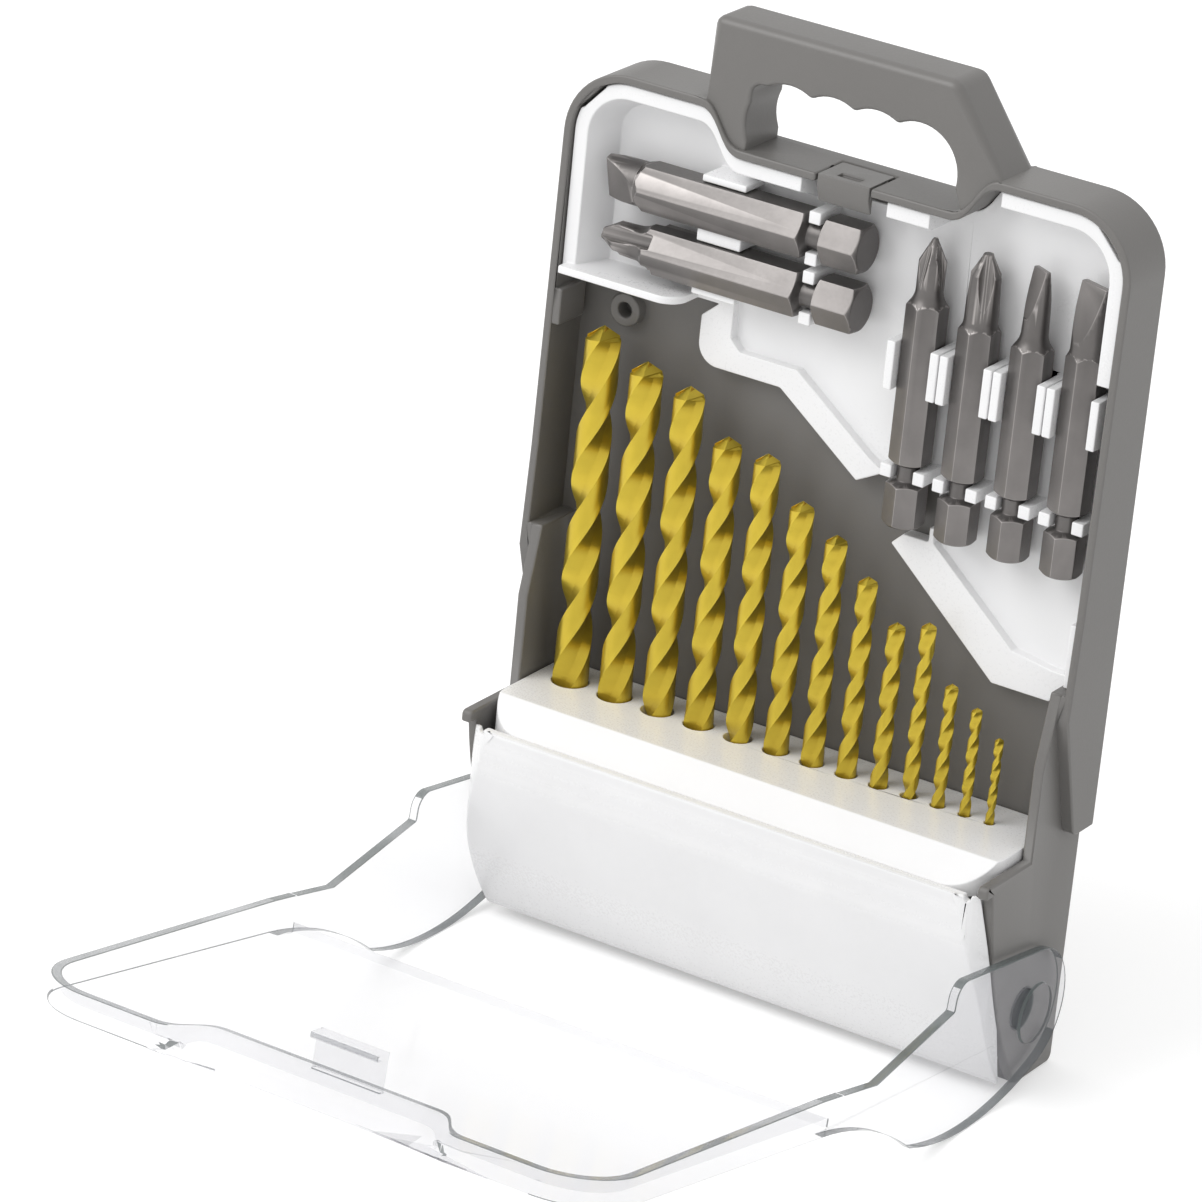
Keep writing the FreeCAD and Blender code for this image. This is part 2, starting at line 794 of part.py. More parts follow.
def drill(size, x, shown):
    """A twist drill standing on its shank, fluted a little way below the top of the block."""
    radius = size / 2
    foot = block_top - socket_depth
    flute_z = block_top - size
    tip_z = block_top + shown
    cone = radius / math.tan(math.radians(point_angle / 2))
    steps = math.ceil((tip_z - cone - flute_z) / (lead_share * size) * steps_per_turn)
    rise = (tip_z - cone - flute_z) / steps
    turn = 360 * rise / (lead_share * size)
    wires = [twist_section(radius, flute_z + i * rise, i * turn) for i in range(steps + 1)]
    wires.append(twist_section(radius * chisel_share, tip_z, (steps + 1) * turn))
    body = Part.makeLoft(wires, True, True)
    body = body.fuse(rod(radius, V(0, 0, foot), Z_AXIS, flute_z - foot))
    body.translate(V(x, drill_row_y, 0))
    return body


def tray_outline():
    """The front view of the tray; its upper corners are cut off inside the round corners of the case."""
    above = tray_top + overrun
    jog_z = tray_top - tray_corner_z + corner_jog / 2
    step = tray_side - tray_corner_x
    lobe_z = cheek_top_z - lobe_drop
    cut_z = bit_foot_z - cut_out_drop
    cut_top_z = bit_foot_z + cut_out_rise
    mid_z = ledge_z - mid_drop
    mid_x = mid_reach - case_half
    path = Outline("xz", -tray_side, ledge_z - ledge_thick)
    path.line(-tray_side, tray_top - tray_corner_z).line(corner_jog - tray_side, jog_z)
    path.line(-step - corner_jog, tray_top - corner_jog).line(-step, above)
    path.line(-notch_half, above).line(-notch_half, case_top - notch_low_drop)
    path.line(notch_half, case_top - notch_low_drop).line(notch_half, above)
    path.line(step, above).line(step + corner_jog, tray_top - corner_jog)
    path.line(tray_side - corner_jog, jog_z).line(tray_side, tray_top - tray_corner_z)
    path.line(tray_side, cheek_top_z + tray_gap)
    path.line(cheek_inner - tray_gap, cheek_top_z + tray_gap)
    path.line(cheek_inner - tray_gap, cheek_top_z - lobe_side_drop)
    path.line(tray_side - lobe_bevel, lobe_z).line(case_half - lobe_inset, lobe_z)
    path.line(bit_first_x - lobe_top_left, bit_foot_z - lobe_top_drop)
    path.line(bit_first_x - cut_out_left, cut_z).line(bit_first_x + cut_out_right, cut_z)
    path.line(bit_first_x + cut_out_right, cut_top_z)
    path.line(bit_first_x - cut_out_top_left, cut_top_z)
    path.line(bit_first_x - arm_left, bit_foot_z + arm_rise)
    path.line(bit_first_x - arm_knee_left, bit_foot_z + arm_knee_rise)
    path.line(bit_first_x - mid_low_left, mid_z).line(mid_x + mid_round, mid_z)
    path.turn((mid_x + mid_round, mid_z + mid_round), mid_round, 270, 180)
    path.line(mid_x, ledge_z - mid_top_drop)
    path.line(mid_top_reach - case_half, ledge_z - ledge_thick)
    return path.face()


def tray_pocket():
    """The hollow inside the tray's front edge, with drafted walls on the left and along the top."""
    wires = []
    for y, more in ((tray_lip_y, 0), (tray_floor_y, tray_slope)):
        wire = case_outline(rim_wall + tray_gap + tray_lip + more, 0).OuterWire
        wire.translate(Y_AXIS * y)
        wires.append(wire)
    hollow = Part.makeLoft(wires, True, True)
    side_z = case_top - side_lip_drop
    low_z = bit_foot_z - side_lip_foot
    upper = box(0, tray_side - tray_lip, tray_lip_y, tray_floor_y, 0, case_top - case_corner)
    right = box(0, tray_side - tray_lip_right, tray_lip_y, tray_floor_y, 0, side_z)
    open_side = box(0, case_half, tray_lip_y, tray_floor_y, low_z, side_z)
    return hollow.fuse(upper).fuse(right).fuse(open_side)


def band_line():
    """The front view of the tray's floor, inside the raised band along its lower edges."""
    left = band_reach - case_half
    low = ledge_z - band_drop
    edge = bit_first_x + cut_out_right + band
    top = bit_foot_z + cut_out_rise - band
    path = Outline("xz", -case_half, ledge_z)
    path.line(left, ledge_z).line(left, low + band_bend)
    path.line(left + band_bend, low).line(bit_first_x - band_mid_left, low)
    path.line(bit_first_x - band_arm_left, bit_foot_z + band_arm_rise)
    path.line(bit_first_x - cut_out_top_left, top).line(edge, top)
    path.line(edge, bit_foot_z - cut_out_drop)
    path.line(case_half - band_lobe_inset, cheek_top_z + band_lobe_rise)
    path.line(case_half - band_low_inset, cheek_top_z + band_low_rise)
    path.line(case_half, cheek_top_z + band_low_rise)
    path.line(case_half, case_top).line(-case_half, case_top)
    return path.face()


def clip(x, z, length, lies, reach, rim, front_y):
    """A pair of posts on the tray floor, one either side of a bit that lies along X or stands along Z."""
    posts = []
    for low, high in ((-reach - rim, -reach), (reach, reach + rim)):
        if lies:
            posts.append(box(x, x + length, front_y, tray_floor_y, z + low, z + high))
        else:
            posts.append(box(x + low, x + high, front_y, tray_floor_y, z, z + length))
    return posts


def bits():
    """Name, kind, flats, x, z, and whether it lies along X, for each bit; x and z are of its end face."""
    rows = []
    for i, kind in enumerate(("cross_small", "cross", "slot_small", "slot")):
        x = bit_first_x + i * bit_pitch
        rows.append((f"bit_{i + 1}_{kind}", kind, bit_flats, x, bit_foot_z, False))
    for i, kind in enumerate(("cross_wide", "slot_wide")):
        x = bit_side - case_half + bit_length
        z = wide_bit_low_z + i * wide_bit_pitch
        rows.append((f"bit_{i + 5}_{kind}", kind, wide_bit_flats, x, z, True))
    return rows


def bit_axis_y(flats):
    return tray_floor_y - bit_seat - flats / math.sqrt(3)


def bit_clips(flats, x, z, lies):
    """The posts that hold one bit, at its middle and at its neck."""
    axis_y = bit_axis_y(flats)
    grip = flats / 2 + bit_seat
    neck_grip = flats * neck_share / 2 + bit_seat
    neck_at = bit_end + (neck_length - neck_clip_length) / 2
    neck_y = axis_y - neck_clip_rise
    if lies:
        middle = x - bit_length * wide_clip_share - clip_length
        neck = x - neck_at - neck_clip_length
        posts = clip(middle, z, clip_length, lies, grip, wide_clip_wall, axis_y - wide_clip_rise)
        return posts + clip(neck, z, neck_clip_length, lies, neck_grip, neck_clip_wall, neck_y)
    middle = z + bit_length * clip_share
    posts = clip(x, middle, clip_length, lies, grip, clip_wall, axis_y - clip_rise)
    return posts + clip(x, z + neck_at, neck_clip_length, lies, neck_grip, neck_clip_wall, neck_y)


def bit_tray():
    within = along(case_outline(rim_wall + tray_gap, 0), Y_AXIS, tray_lip_y, panel_front_y)
    body = within.common(along(tray_outline(), Y_AXIS, tray_lip_y, panel_front_y))
    pocket = tray_pocket()
    body = body.cut(pocket.common(along(case_outline(0, 0), Y_AXIS, -overrun, band_y)))
    body = body.cut(pocket.common(along(band_line(), Y_AXIS, -overrun, tray_floor_y)))
    keeper_low = keeper_top_z - keeper_thick - keeper_gap
    body = body.cut(box(-notch_half, notch_half, -overrun, tray_floor_y, keeper_low, case_top))
    body = body.cut(box(dip_lip_x, dip_top_half, -overrun, tray_floor_y, bit_foot_z, case_top))
    side = cheek_outer - tray_gap
    edge = ledge_reach - case_half
    shelf = Outline("xy", -side, panel_front_y)
    shelf.line(-side, ledge_front_y).line(edge - ledge_round, ledge_front_y)
    shelf.turn((edge - ledge_round, ledge_front_y + ledge_round), ledge_round, 270, 360)
    shelf.line(edge, panel_front_y)
    body = body.fuse(along(shelf.face(), Z_AXIS, ledge_z - ledge_thick, ledge_z))
    for name, kind, flats, x, z, lies in bits():
        for piece in bit_clips(flats, x, z, lies):
            body = body.fuse(piece)
    return body.removeSplitter()


def hexagon(flats):
    """A hexagon with two of its corners to the front and back."""
    radius = flats / math.sqrt(3)
    angles = [math.radians(30 + 60 * i) for i in range(7)]
    points = [V(radius * math.cos(angle), radius * math.sin(angle), 0) for angle in angles]
    return Part.Face(Part.makePolygon(points))


def cross_grooves(shaft_radius, turn):
    """The four grooves between the wings of a cross tip, running out along the shaft."""
    grooves = []
    low = bit_length - shaft_radius * groove_run_share
    keep = box(-bit_length, bit_length, -bit_length, bit_length, low, bit_length)
    for i in range(4):
        groove = rod(shaft_radius * groove_share, V(0, 0, 0), Z_AXIS, bit_length)
        groove.translate(V(shaft_radius * groove_out_share, 0, 0))
        groove.rotate(V(0, 0, bit_length), Y_AXIS, -groove_lean)
        groove.rotate(V(0, 0, 0), Z_AXIS, turn + 90 * i)
        grooves.append(groove.common(keep))
    return grooves


def slot_flats(shaft_radius, run, corner, turn):
    """The two wedges that leave a slot tip's blade."""
    blade = shaft_radius * blade_share
    low = bit_length - run
    wedge = Outline("yz", blade, bit_length + corner)
    wedge.line(blade, bit_length).line(shaft_radius, low)
    wedge.line(2 * corner, low).line(2 * corner, bit_length + corner)
    wedges = []
    for i in range(2):
        side = along(wedge.face(), X_AXIS, -corner, corner)
        side.rotate(V(0, 0, 0), Z_AXIS, turn + 180 * i)
        wedges.append(side)
    return wedges


def bit(kind, flats):
    """A bit standing on its end face at the origin."""
    shaft, start, run, end, turn = bit_shape_share[kind]
    corner = flats / math.sqrt(3)
    neck = flats * neck_share / 2
    bevel = corner - flats / 2
    shaft_radius = shaft * flats / 2
    run = run * shaft_radius
    start_z = bit_length * start
    ease = (corner - shaft_radius) * shoulder_share
    turned = Outline("xz", 0, 0)
    turned.line(flats / 2 - bevel / 2, 0).line(corner, bevel).line(corner, bit_end)
    turned.line(neck, bit_end + neck_bevel).line(neck, bit_end + neck_length - neck_bevel)
    turned.line(corner, bit_end + neck_length).line(corner, start_z)
    turned.arc(
        shaft_radius + (corner - shaft_radius) * ease_share,
        start_z + ease * ease_share,
        shaft_radius,
        start_z + ease,
    )
    if kind.startswith("cross"):
        turned.line(shaft_radius, bit_length - run)
    turned.line(shaft_radius * end, bit_length).line(0, bit_length)
    body = hexagon(flats).extrude(Z_AXIS * bit_length)
    body = body.common(turned.face().revolve(V(0, 0, 0), Z_AXIS, 360))
    if kind.startswith("cross"):
        cuts = cross_grooves(shaft_radius, turn)
    else:
        cuts = slot_flats(shaft_radius, run, corner, turn)
    for cut in cuts:
        body = body.cut(cut)
    return body


def placed_bit(kind, flats, x, z, lies):
    body = bit(kind, flats)
    if lies:
        body.rotate(V(0, 0, 0), Z_AXIS, 90)
        body.rotate(V(0, 0, 0), Y_AXIS, -90)
        body.rotate(V(0, 0, 0), X_AXIS, 90)
    body.translate(V(x, bit_axis_y(flats), z))
    return body


def main():
    os.makedirs("parts", exist_ok=True)
    nodes = {
        "back_shell": back_shell(),
        "latch_rocker": latch_rocker(),
        "bit_tray": bit_tray(),
        "drill_block": drill_block(),
        "front_cover": front_cover(),
        "lid": lid(),
    }
    for name, size, x, shown in drills():
        nodes[name] = drill(size, x, shown)
    for name, kind, flats, x, z, lies in bits():
        nodes[name] = placed_bit(kind, flats, x, z, lies)
    for name, shape in nodes.items():
        print(name, shape.isValid(), len(shape.Solids), len(shape.Faces), round(shape.Volume, 1))
        shape.exportStep(f"parts/{name}.step")


main()
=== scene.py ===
"""Looks of the drill bit case: moulded grey and white plastic, a clear lid, gold twist drills and
dark steel driver bits, on a white floor in soft studio light."""

import json
import math

import bmesh
import bpy
from bpy.props import FloatProperty, FloatVectorProperty, IntProperty, PointerProperty
from bpy.types import Operator, Panel, PropertyGroup
from mathutils import Matrix, Vector
from mathutils.bvhtree import BVHTree


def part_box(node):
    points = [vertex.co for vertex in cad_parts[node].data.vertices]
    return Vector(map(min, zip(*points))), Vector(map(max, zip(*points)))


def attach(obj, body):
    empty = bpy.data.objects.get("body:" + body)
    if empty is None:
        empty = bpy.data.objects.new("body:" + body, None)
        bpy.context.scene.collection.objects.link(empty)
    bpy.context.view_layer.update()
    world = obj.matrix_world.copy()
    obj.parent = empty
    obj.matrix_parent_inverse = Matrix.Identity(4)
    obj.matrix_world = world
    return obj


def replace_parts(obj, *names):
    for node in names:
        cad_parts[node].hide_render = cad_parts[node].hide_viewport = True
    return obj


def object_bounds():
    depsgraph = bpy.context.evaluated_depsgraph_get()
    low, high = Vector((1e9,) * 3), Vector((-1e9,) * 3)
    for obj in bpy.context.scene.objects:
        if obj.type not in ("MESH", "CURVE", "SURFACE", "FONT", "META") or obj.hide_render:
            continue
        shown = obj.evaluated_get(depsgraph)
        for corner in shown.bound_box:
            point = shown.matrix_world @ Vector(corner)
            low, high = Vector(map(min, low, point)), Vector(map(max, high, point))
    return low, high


bl_info = {
    "name": "Drill bit case",
    "version": (1, 0, 0),
    "blender": (4, 5, 0),
    "location": "3D View > Sidebar > Drill case",
    "description": "Dresses the drill bit case and sets its studio",
    "category": "Object",
}

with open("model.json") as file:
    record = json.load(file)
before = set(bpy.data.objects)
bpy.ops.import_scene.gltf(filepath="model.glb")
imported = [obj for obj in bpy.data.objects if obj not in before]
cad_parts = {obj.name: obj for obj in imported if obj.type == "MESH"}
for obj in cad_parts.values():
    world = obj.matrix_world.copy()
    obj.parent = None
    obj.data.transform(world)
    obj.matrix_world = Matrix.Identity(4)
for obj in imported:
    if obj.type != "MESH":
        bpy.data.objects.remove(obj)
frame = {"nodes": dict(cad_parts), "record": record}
BARE_BOX = [list(corner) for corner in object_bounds()]

NODES = sorted(frame["nodes"])
DRILL_NAMES = [name for name in NODES if name.startswith("drill_") and name[-1].isdigit()]
BIT_NAMES = [name for name in NODES if name.startswith("bit_") and name != "bit_tray"]
OPENINGS = {item["name"]: item["box_m"] for item in frame["record"]["physics"]["openings"]}


# Node trees


class Value:
    """A socket of a node tree; maths written on it adds Math nodes."""

    def __init__(self, tree, socket):
        self.tree = tree
        self.socket = socket

    def math(self, operation, *values):
        return self.tree.add("ShaderNodeMath", {"operation": operation}, dict(enumerate(values)))[0]

    def __add__(self, other):
        return self.math("ADD", self, other)

    def __radd__(self, other):
        return self.math("ADD", other, self)

    def __sub__(self, other):
        return self.math("SUBTRACT", self, other)

    def __rsub__(self, other):
        return self.math("SUBTRACT", other, self)

    def __mul__(self, other):
        return self.math("MULTIPLY", self, other)

    def __rmul__(self, other):
        return self.math("MULTIPLY", other, self)

    def __truediv__(self, other):
        return self.math("DIVIDE", self, other)

    def __rtruediv__(self, other):
        return self.math("DIVIDE", other, self)

    def __gt__(self, other):
        return self.math("GREATER_THAN", self, other)

    def __lt__(self, other):
        return self.math("LESS_THAN", self, other)

    def sin(self):
        return self.math("SINE", self)

    def cos(self):
        return self.math("COSINE", self)

    def floor(self):
        return self.math("FLOOR", self)

    def held(self, low=0.0, high=1.0):
        """The value kept between two limits."""
        return self.math("MAXIMUM", self.math("MINIMUM", self, high), low)


class Made:
    """A node that was just added; indexing it gives an output."""

    def __init__(self, tree, node):
        self.tree = tree
        self.node = node

    def __getitem__(self, key):
        return Value(self.tree, self.node.outputs[key])


class Tree:
    """A node tree of a material, the world or a geometry modifier."""

    def __init__(self, tree):
        self.tree = tree
        tree.nodes.clear()

    def add(self, kind, settings=None, inputs=None):
        """Adds a node, sets its settings, then gives its sockets their values or links."""
        node = self.tree.nodes.new(kind)
        for name, setting in (settings or {}).items():
            setattr(node, name, setting)
        for key, value in (inputs or {}).items():
            self.feed(node.inputs[key], value)
        return Made(self, node)

    def feed(self, socket, value):
        if isinstance(value, Value):
            self.tree.links.new(value.socket, socket)
        else:
            socket.default_value = value

    def mix(self, factor, first, second):
        """The colour that lies factor of the way from the first to the second."""
        inputs = {0: factor, 6: first, 7: second}
        return self.add("ShaderNodeMix", {"data_type": "RGBA"}, inputs)[2]

    def noise(self, place, scale, detail=2.0, stretch=None):
        """Noise with scale cells in a metre, drawn out along the axes where stretch is small."""
        if stretch:
            inputs = {0: place, 1: stretch}
            place = self.add("ShaderNodeVectorMath", {"operation": "MULTIPLY"}, inputs)[0]
        inputs = {"Vector": place, "Scale": scale, "Detail": detail}
        return self.add("ShaderNodeTexNoise", None, inputs)[0]

    def bump(self, height, strength, distance):
        inputs = {"Height": height, "Strength": strength, "Distance": distance}
        return self.add("ShaderNodeBump", None, inputs)[0]

    def stored(self, name):
        """An attribute of the piece's own mesh."""
        return self.add("ShaderNodeAttribute", {"attribute_name": name})["Fac"]


def shade(color, share):
    """A colour made lighter or darker."""
    return tuple(min(1.0, part * share) for part in color[:3]) + (1.0,)


# Settings


def color_property(name, description, default):
    return FloatVectorProperty(
        name=name, description=description, default=default,
        subtype="COLOR", size=4, min=0.0, max=1.0,
    )


def length_property(name, description, default):
    return FloatProperty(
        name=name, description=description, default=default, unit="LENGTH", min=0.0
    )


def shift_property(name, description, default):
    return FloatProperty(name=name, description=description, default=default, unit="LENGTH")


def angle_property(name, description, degrees):
    return FloatProperty(
        name=name, description=description, default=math.radians(degrees), subtype="ANGLE"
    )


def number_property(name, description, default, low=0.0, high=100.0):
    return FloatProperty(name=name, description=description, default=default, min=low, max=high)


class CaseLooks(PropertyGroup):
    """Colours of the finishes."""

    grey: color_property("Grey plastic", "Shell and latch", (0.16, 0.154, 0.147, 1.0))
    white: color_property("White plastic", "Tray and drill holder", (0.89, 0.89, 0.895, 1.0))
    clear: color_property("Clear plastic", "Tint of the lid", (0.56, 0.56, 0.61, 1.0))
    # Cut edges of the lid: the plastic's grey-green tint, darkened by painted shade for the light
    # they reflect inside
    rim: color_property("Clear edges", "Deep inside the lid's cut edges", (0.12, 0.14, 0.14, 1.0))
    gold: color_property("Gold coating", "Drills", (0.6, 0.455, 0.05, 1.0))
    steel: color_property("Dark steel", "Driver bits", (0.138, 0.13, 0.126, 1.0))


class CaseSizes(PropertyGroup):
    """Sizes of the dressed pieces."""

    shell_round: length_property("Shell edges", "Rounding of the shell's edges", 0.0004)
    handle_round: length_property("Handle edges", "Rounding of the carry handle's edges", 0.0016)
    grip_round: length_property("Grip edges", "Rounding of the finger hole's edges", 0.0007)
    tray_round: length_property("Tray edges", "Rounding of the tray's edges", 0.00025)
    holder_round: length_property("Holder edges", "Rounding of the holder's edges", 0.0004)
    lid_round: length_property("Lid edges", "Rounding of the lid's edges", 0.0003)
    bit_round: length_property("Bit edges", "Rounding of the driver bits' edges", 0.00012)
    blade: length_property("Blade", "Length of the wide slot bit's tip", 0.0069)
    blade_turn: angle_property("Blade turn", "Turn of the wide slot bit's tip", 76)
    lead_share: number_property("Lead", "Rise of a flute in one turn, in drill diameters", 5.8, 1.0)
    web_share: number_property("Web", "Half a drill's web, in drill radii", 0.22, 0.05, 0.6)
    point_angle: angle_property("Point angle", "Angle of a drill's point", 118)
    row_step: angle_property("Row step", "Turn between two rows of a drill's mesh", 8)
    columns: IntProperty(
        name="Columns", description="Faces round a drill, a multiple of ten",
        default=50, min=20, max=120,
    )


class CaseStudio(PropertyGroup):
    """Camera and light."""

    azimuth: angle_property("Azimuth", "Angle of the camera round the case", 30.49)
    elevation: angle_property("Elevation", "Angle of the camera above the floor", 22.43)
    roll: angle_property("Roll", "Turn of the camera about its view", 5.66)
    distance: length_property("Distance", "From the camera to the case", 1.1113)
    target_height: length_property("Target height", "Height that the view turns about", 0.0812)
    aside: shift_property("Aside", "Shift of the view along its own right", -0.03555)
    upward: shift_property("Upward", "Shift of the view along its own up", -0.01252)
    lens: number_property("Lens", "Focal length in millimetres", 196.9, 10.0, 1000.0)
    fill: number_property("Fill", "Light from all round", 0.82)
    key: number_property("Key", "Watts of the large lamp", 6.6)


# Finishes

# Cells of each noise in a metre, and the detail of the cloudy ones
CLOUD_DETAIL = 3.0
FLOW_CELLS = 38.0  # marks where the plastic ran into the mould
WEAR_AND_HIGHLIGHT_CELLS = 120.0  # patches where the edges' lighter colour, partly wear and partly painted highlight, is stronger
GRAIN_CELLS = 2600.0  # the mould's grain
STREAK_CELLS = 90.0  # streaks inside clear plastic
GRINDING_CELLS = 900.0  # lines left by the grinding wheel
COATING_CELLS = 260.0  # cloudiness of the gold coating
TEMPER_CELLS = 180.0  # cloudiness of the hardened steel
STEEL_GRAIN_CELLS = 2200.0  # the blasted grain of the steel

GRINDING_STRETCH = (0.25, 0.25, 3.0)  # the lines run round the drill, not along it
PLASTIC_IOR = 1.5
GRAIN_DEPTH = 0.00006  # metres of relief in the plastics
METAL_DEPTH = 0.00004  # metres of relief in the metals

# Roughness of each finish, the strength of its relief and how much of it is metal
GREY_ROUGH, GREY_GRAIN = 0.42, 0.35
WHITE_ROUGH, WHITE_GRAIN = 0.3, 0.12
GOLD_ROUGH, GOLD_GRIND, GOLD_METAL = 0.27, 0.18, 0.8
STEEL_ROUGH, STEEL_GRAIN, STEEL_METAL = 0.34, 0.12, 0.85
CLEAR_ROUGH = 0.06
CLEAR_THIN, CLEAR_DEEP = 0.13, 0.75  # cover of a thin skin, and what a cut edge adds to it
GOLD_FLUTE_BROWN_AND_SHADE = (0.95, 0.62, 0.35)  # share of each colour kept deep in a flute: a browner coating, with painted shade


def surface(name, inputs_of):
    """A material made of one principled shader, whose sockets come from inputs_of(tree, place)."""
    material = bpy.data.materials.new(name)
    material.use_nodes = True
    tree = Tree(material.node_tree)
    place = tree.add("ShaderNodeTexCoord")["Object"]
    shader = tree.add("ShaderNodeBsdfPrincipled", None, inputs_of(tree, place))
    tree.add("ShaderNodeOutputMaterial", None, {"Surface": shader["BSDF"]})
    return material


def moulded(name, color, rough, grain):
    """Injection moulded plastic: a fine grain, faint flow marks, and outer edges made smoother by
    handling, whose lighter colour is partly wear and partly a painted highlight.
    """
    # edge_highlight: outer edges made lighter, partly wear from handling and partly a painted
    # highlight
    dark, light, edge_highlight = shade(color, 0.94), shade(color, 1.05), shade(color, 1.25)
    edge_highlight_share, grain_dulls, polish_shines, flow_height = 0.5, 0.1, 0.12, 0.4

    def sockets(tree, place):
        flow = tree.noise(place, FLOW_CELLS, CLOUD_DETAIL)
        fine = tree.noise(place, GRAIN_CELLS)
        wear_and_highlight = tree.stored("edge")
        patch = tree.noise(place, WEAR_AND_HIGHLIGHT_CELLS)
        base = tree.mix(flow, dark, light)
        return {
            # outer edges lighter: partly wear, partly a painted highlight
            "Base Color": tree.mix(wear_and_highlight * patch * edge_highlight_share, base, edge_highlight),
            "Roughness": rough + fine * grain_dulls - wear_and_highlight * polish_shines,
            "IOR": PLASTIC_IOR,
            "Normal": tree.bump(fine + flow * flow_height, grain, GRAIN_DEPTH),
        }

    return surface(name, sockets)


def white_moulding(color):
    """The white plastic that the tray and the holder share, made when it is first asked for."""
    name = "white_moulding"
    return bpy.data.materials.get(name) or moulded(name, color, WHITE_ROUGH, WHITE_GRAIN)


def clear_moulding(name, color, rim):
    """Clear polystyrene: nearly unseen as a thin skin, dark grey-green where one looks deep into
    it: partly its own tint, partly painted shade for the light that its cut edges reflect inside.
    """
    between_streaks, streak_adds = 0.75, 0.5

    def sockets(tree, place):
        streak = tree.noise(place, STREAK_CELLS)
        deep = (tree.stored("depth") * (between_streaks + streak * streak_adds)).held()
        return {
            # deep plastic turns dark: its own tint together with painted shade
            "Base Color": tree.mix(deep, color, rim),
            "Roughness": CLEAR_ROUGH,
            "IOR": PLASTIC_IOR,
            "Alpha": CLEAR_THIN + deep * CLEAR_DEEP,
        }

    return surface(name, sockets)


def gold_coating(name, color):
    """Gold-coloured nitride on ground steel: grinding lines, flutes darker and browner deep inside,
    partly a browner coating and partly painted shade, and margins lightened by a painted highlight.
    """
    dark, light, margin_highlight = shade(color, 0.88), shade(color, 1.08), shade(color, 1.35)
    # deep in the flutes: a browner coating together with painted shade, 0.62 as bright
    flute_brown_and_shade = shade([part * kept for part, kept in zip(color, GOLD_FLUTE_BROWN_AND_SHADE)], 0.62)
    flute_gain, most_flute_shade, margin_highlight_share = 1.6, 0.8, 0.8
    lines_dull, flute_dulls, margin_shines = 0.14, 0.1, 0.06

    def sockets(tree, place):
        lines = tree.noise(place, GRINDING_CELLS, stretch=GRINDING_STRETCH)
        cloud = tree.noise(place, COATING_CELLS)
        depth = tree.stored("flute")
        margin = tree.stored("margin")
        base = tree.mix(cloud, dark, light)
        # the flutes turn darker brown towards their depth: partly coating, partly painted shade
        base = tree.mix((depth * flute_gain).held() * most_flute_shade, base, flute_brown_and_shade)
        rough = GOLD_ROUGH + lines * lines_dull + depth * flute_dulls
        return {
            # the margins made lighter: a painted highlight
            "Base Color": tree.mix(margin * margin_highlight_share, base, margin_highlight),
            "Metallic": GOLD_METAL,
            "Roughness": rough - margin * margin_shines,
            "Normal": tree.bump(lines, GOLD_GRIND, METAL_DEPTH),
        }

    return surface(name, sockets)


def dark_finish(name, color):
    """Dark hardened steel, brighter on its edges: partly rubbed wear, partly a painted highlight.
    """
    dark, light, rubbed_and_highlight = shade(color, 0.85), shade(color, 1.2), shade(color, 3.6)
    least_rub_and_highlight, cloud_rub_and_highlight, grain_dulls, rub_shines = 0.35, 0.5, 0.12, 0.06

    def sockets(tree, place):
        cloud = tree.noise(place, TEMPER_CELLS, CLOUD_DETAIL)
        fine = tree.noise(place, STEEL_GRAIN_CELLS)
        wear_and_highlight = tree.stored("edge")
        base = tree.mix(cloud, dark, light)
        return {
            # edges brighter: rubbed wear together with a painted highlight
            "Base Color": tree.mix(wear_and_highlight * (least_rub_and_highlight + cloud * cloud_rub_and_highlight), base, rubbed_and_highlight),
            "Metallic": STEEL_METAL,
            "Roughness": STEEL_ROUGH + fine * grain_dulls - wear_and_highlight * rub_shines,
            "Normal": tree.bump(fine, STEEL_GRAIN, METAL_DEPTH),
        }

    return surface(name, sockets)


# Forms

WELD = 0.000002  # metres within which the points of a form are one
SPECK = 0.000001  # length below which an edge is dropped, or a point counts as on a cut
FLAT = math.radians(0.2)  # bend below which two faces are one flat
STRAY = 0.6  # widths of rounding past which a point has left the form and is put back
WEAR_AND_HIGHLIGHT_STARTS, WEAR_AND_HIGHLIGHT_FULL = 12.0, 32.0  # degrees of bend at which an edge starts to show wear and a painted highlight, and shows them fully
FLATS_WEIGHT = 80  # how far large faces win over small ones in the shading

ARC_SLACK = 0.00006  # how far a point of a round corner may lie off its arc
AXIS_SLACK = 0.00001  # how far it may lie outside the quarter turn
TURN_SLACK = 0.001  # radians within which points count as the middle of the arc

THIN_SKIN = 0.0022  # metres of clear plastic that still look like a skin
CUT_EDGE = 0.0042  # metres from which they look like a cut edge
DEEPEST = 0.036  # metres past which an edge looks clear again
RAY_INSET = 0.3  # how far a ray starts from a face's corner, as a share of the way to its middle
RAY_SUNK = 0.00002  # how far below the face it starts
SIDEWAYS = 0.9  # share of a face's direction along the hinge from which it counts as sideways
BACKWARDS = 0.85  # the same for a face at the panel's back edge
PANEL_HALF = 0.045  # half the length of the panel's back edge
FEATHERED = 0.15  # share of the depth that the panel's thin back edge shows


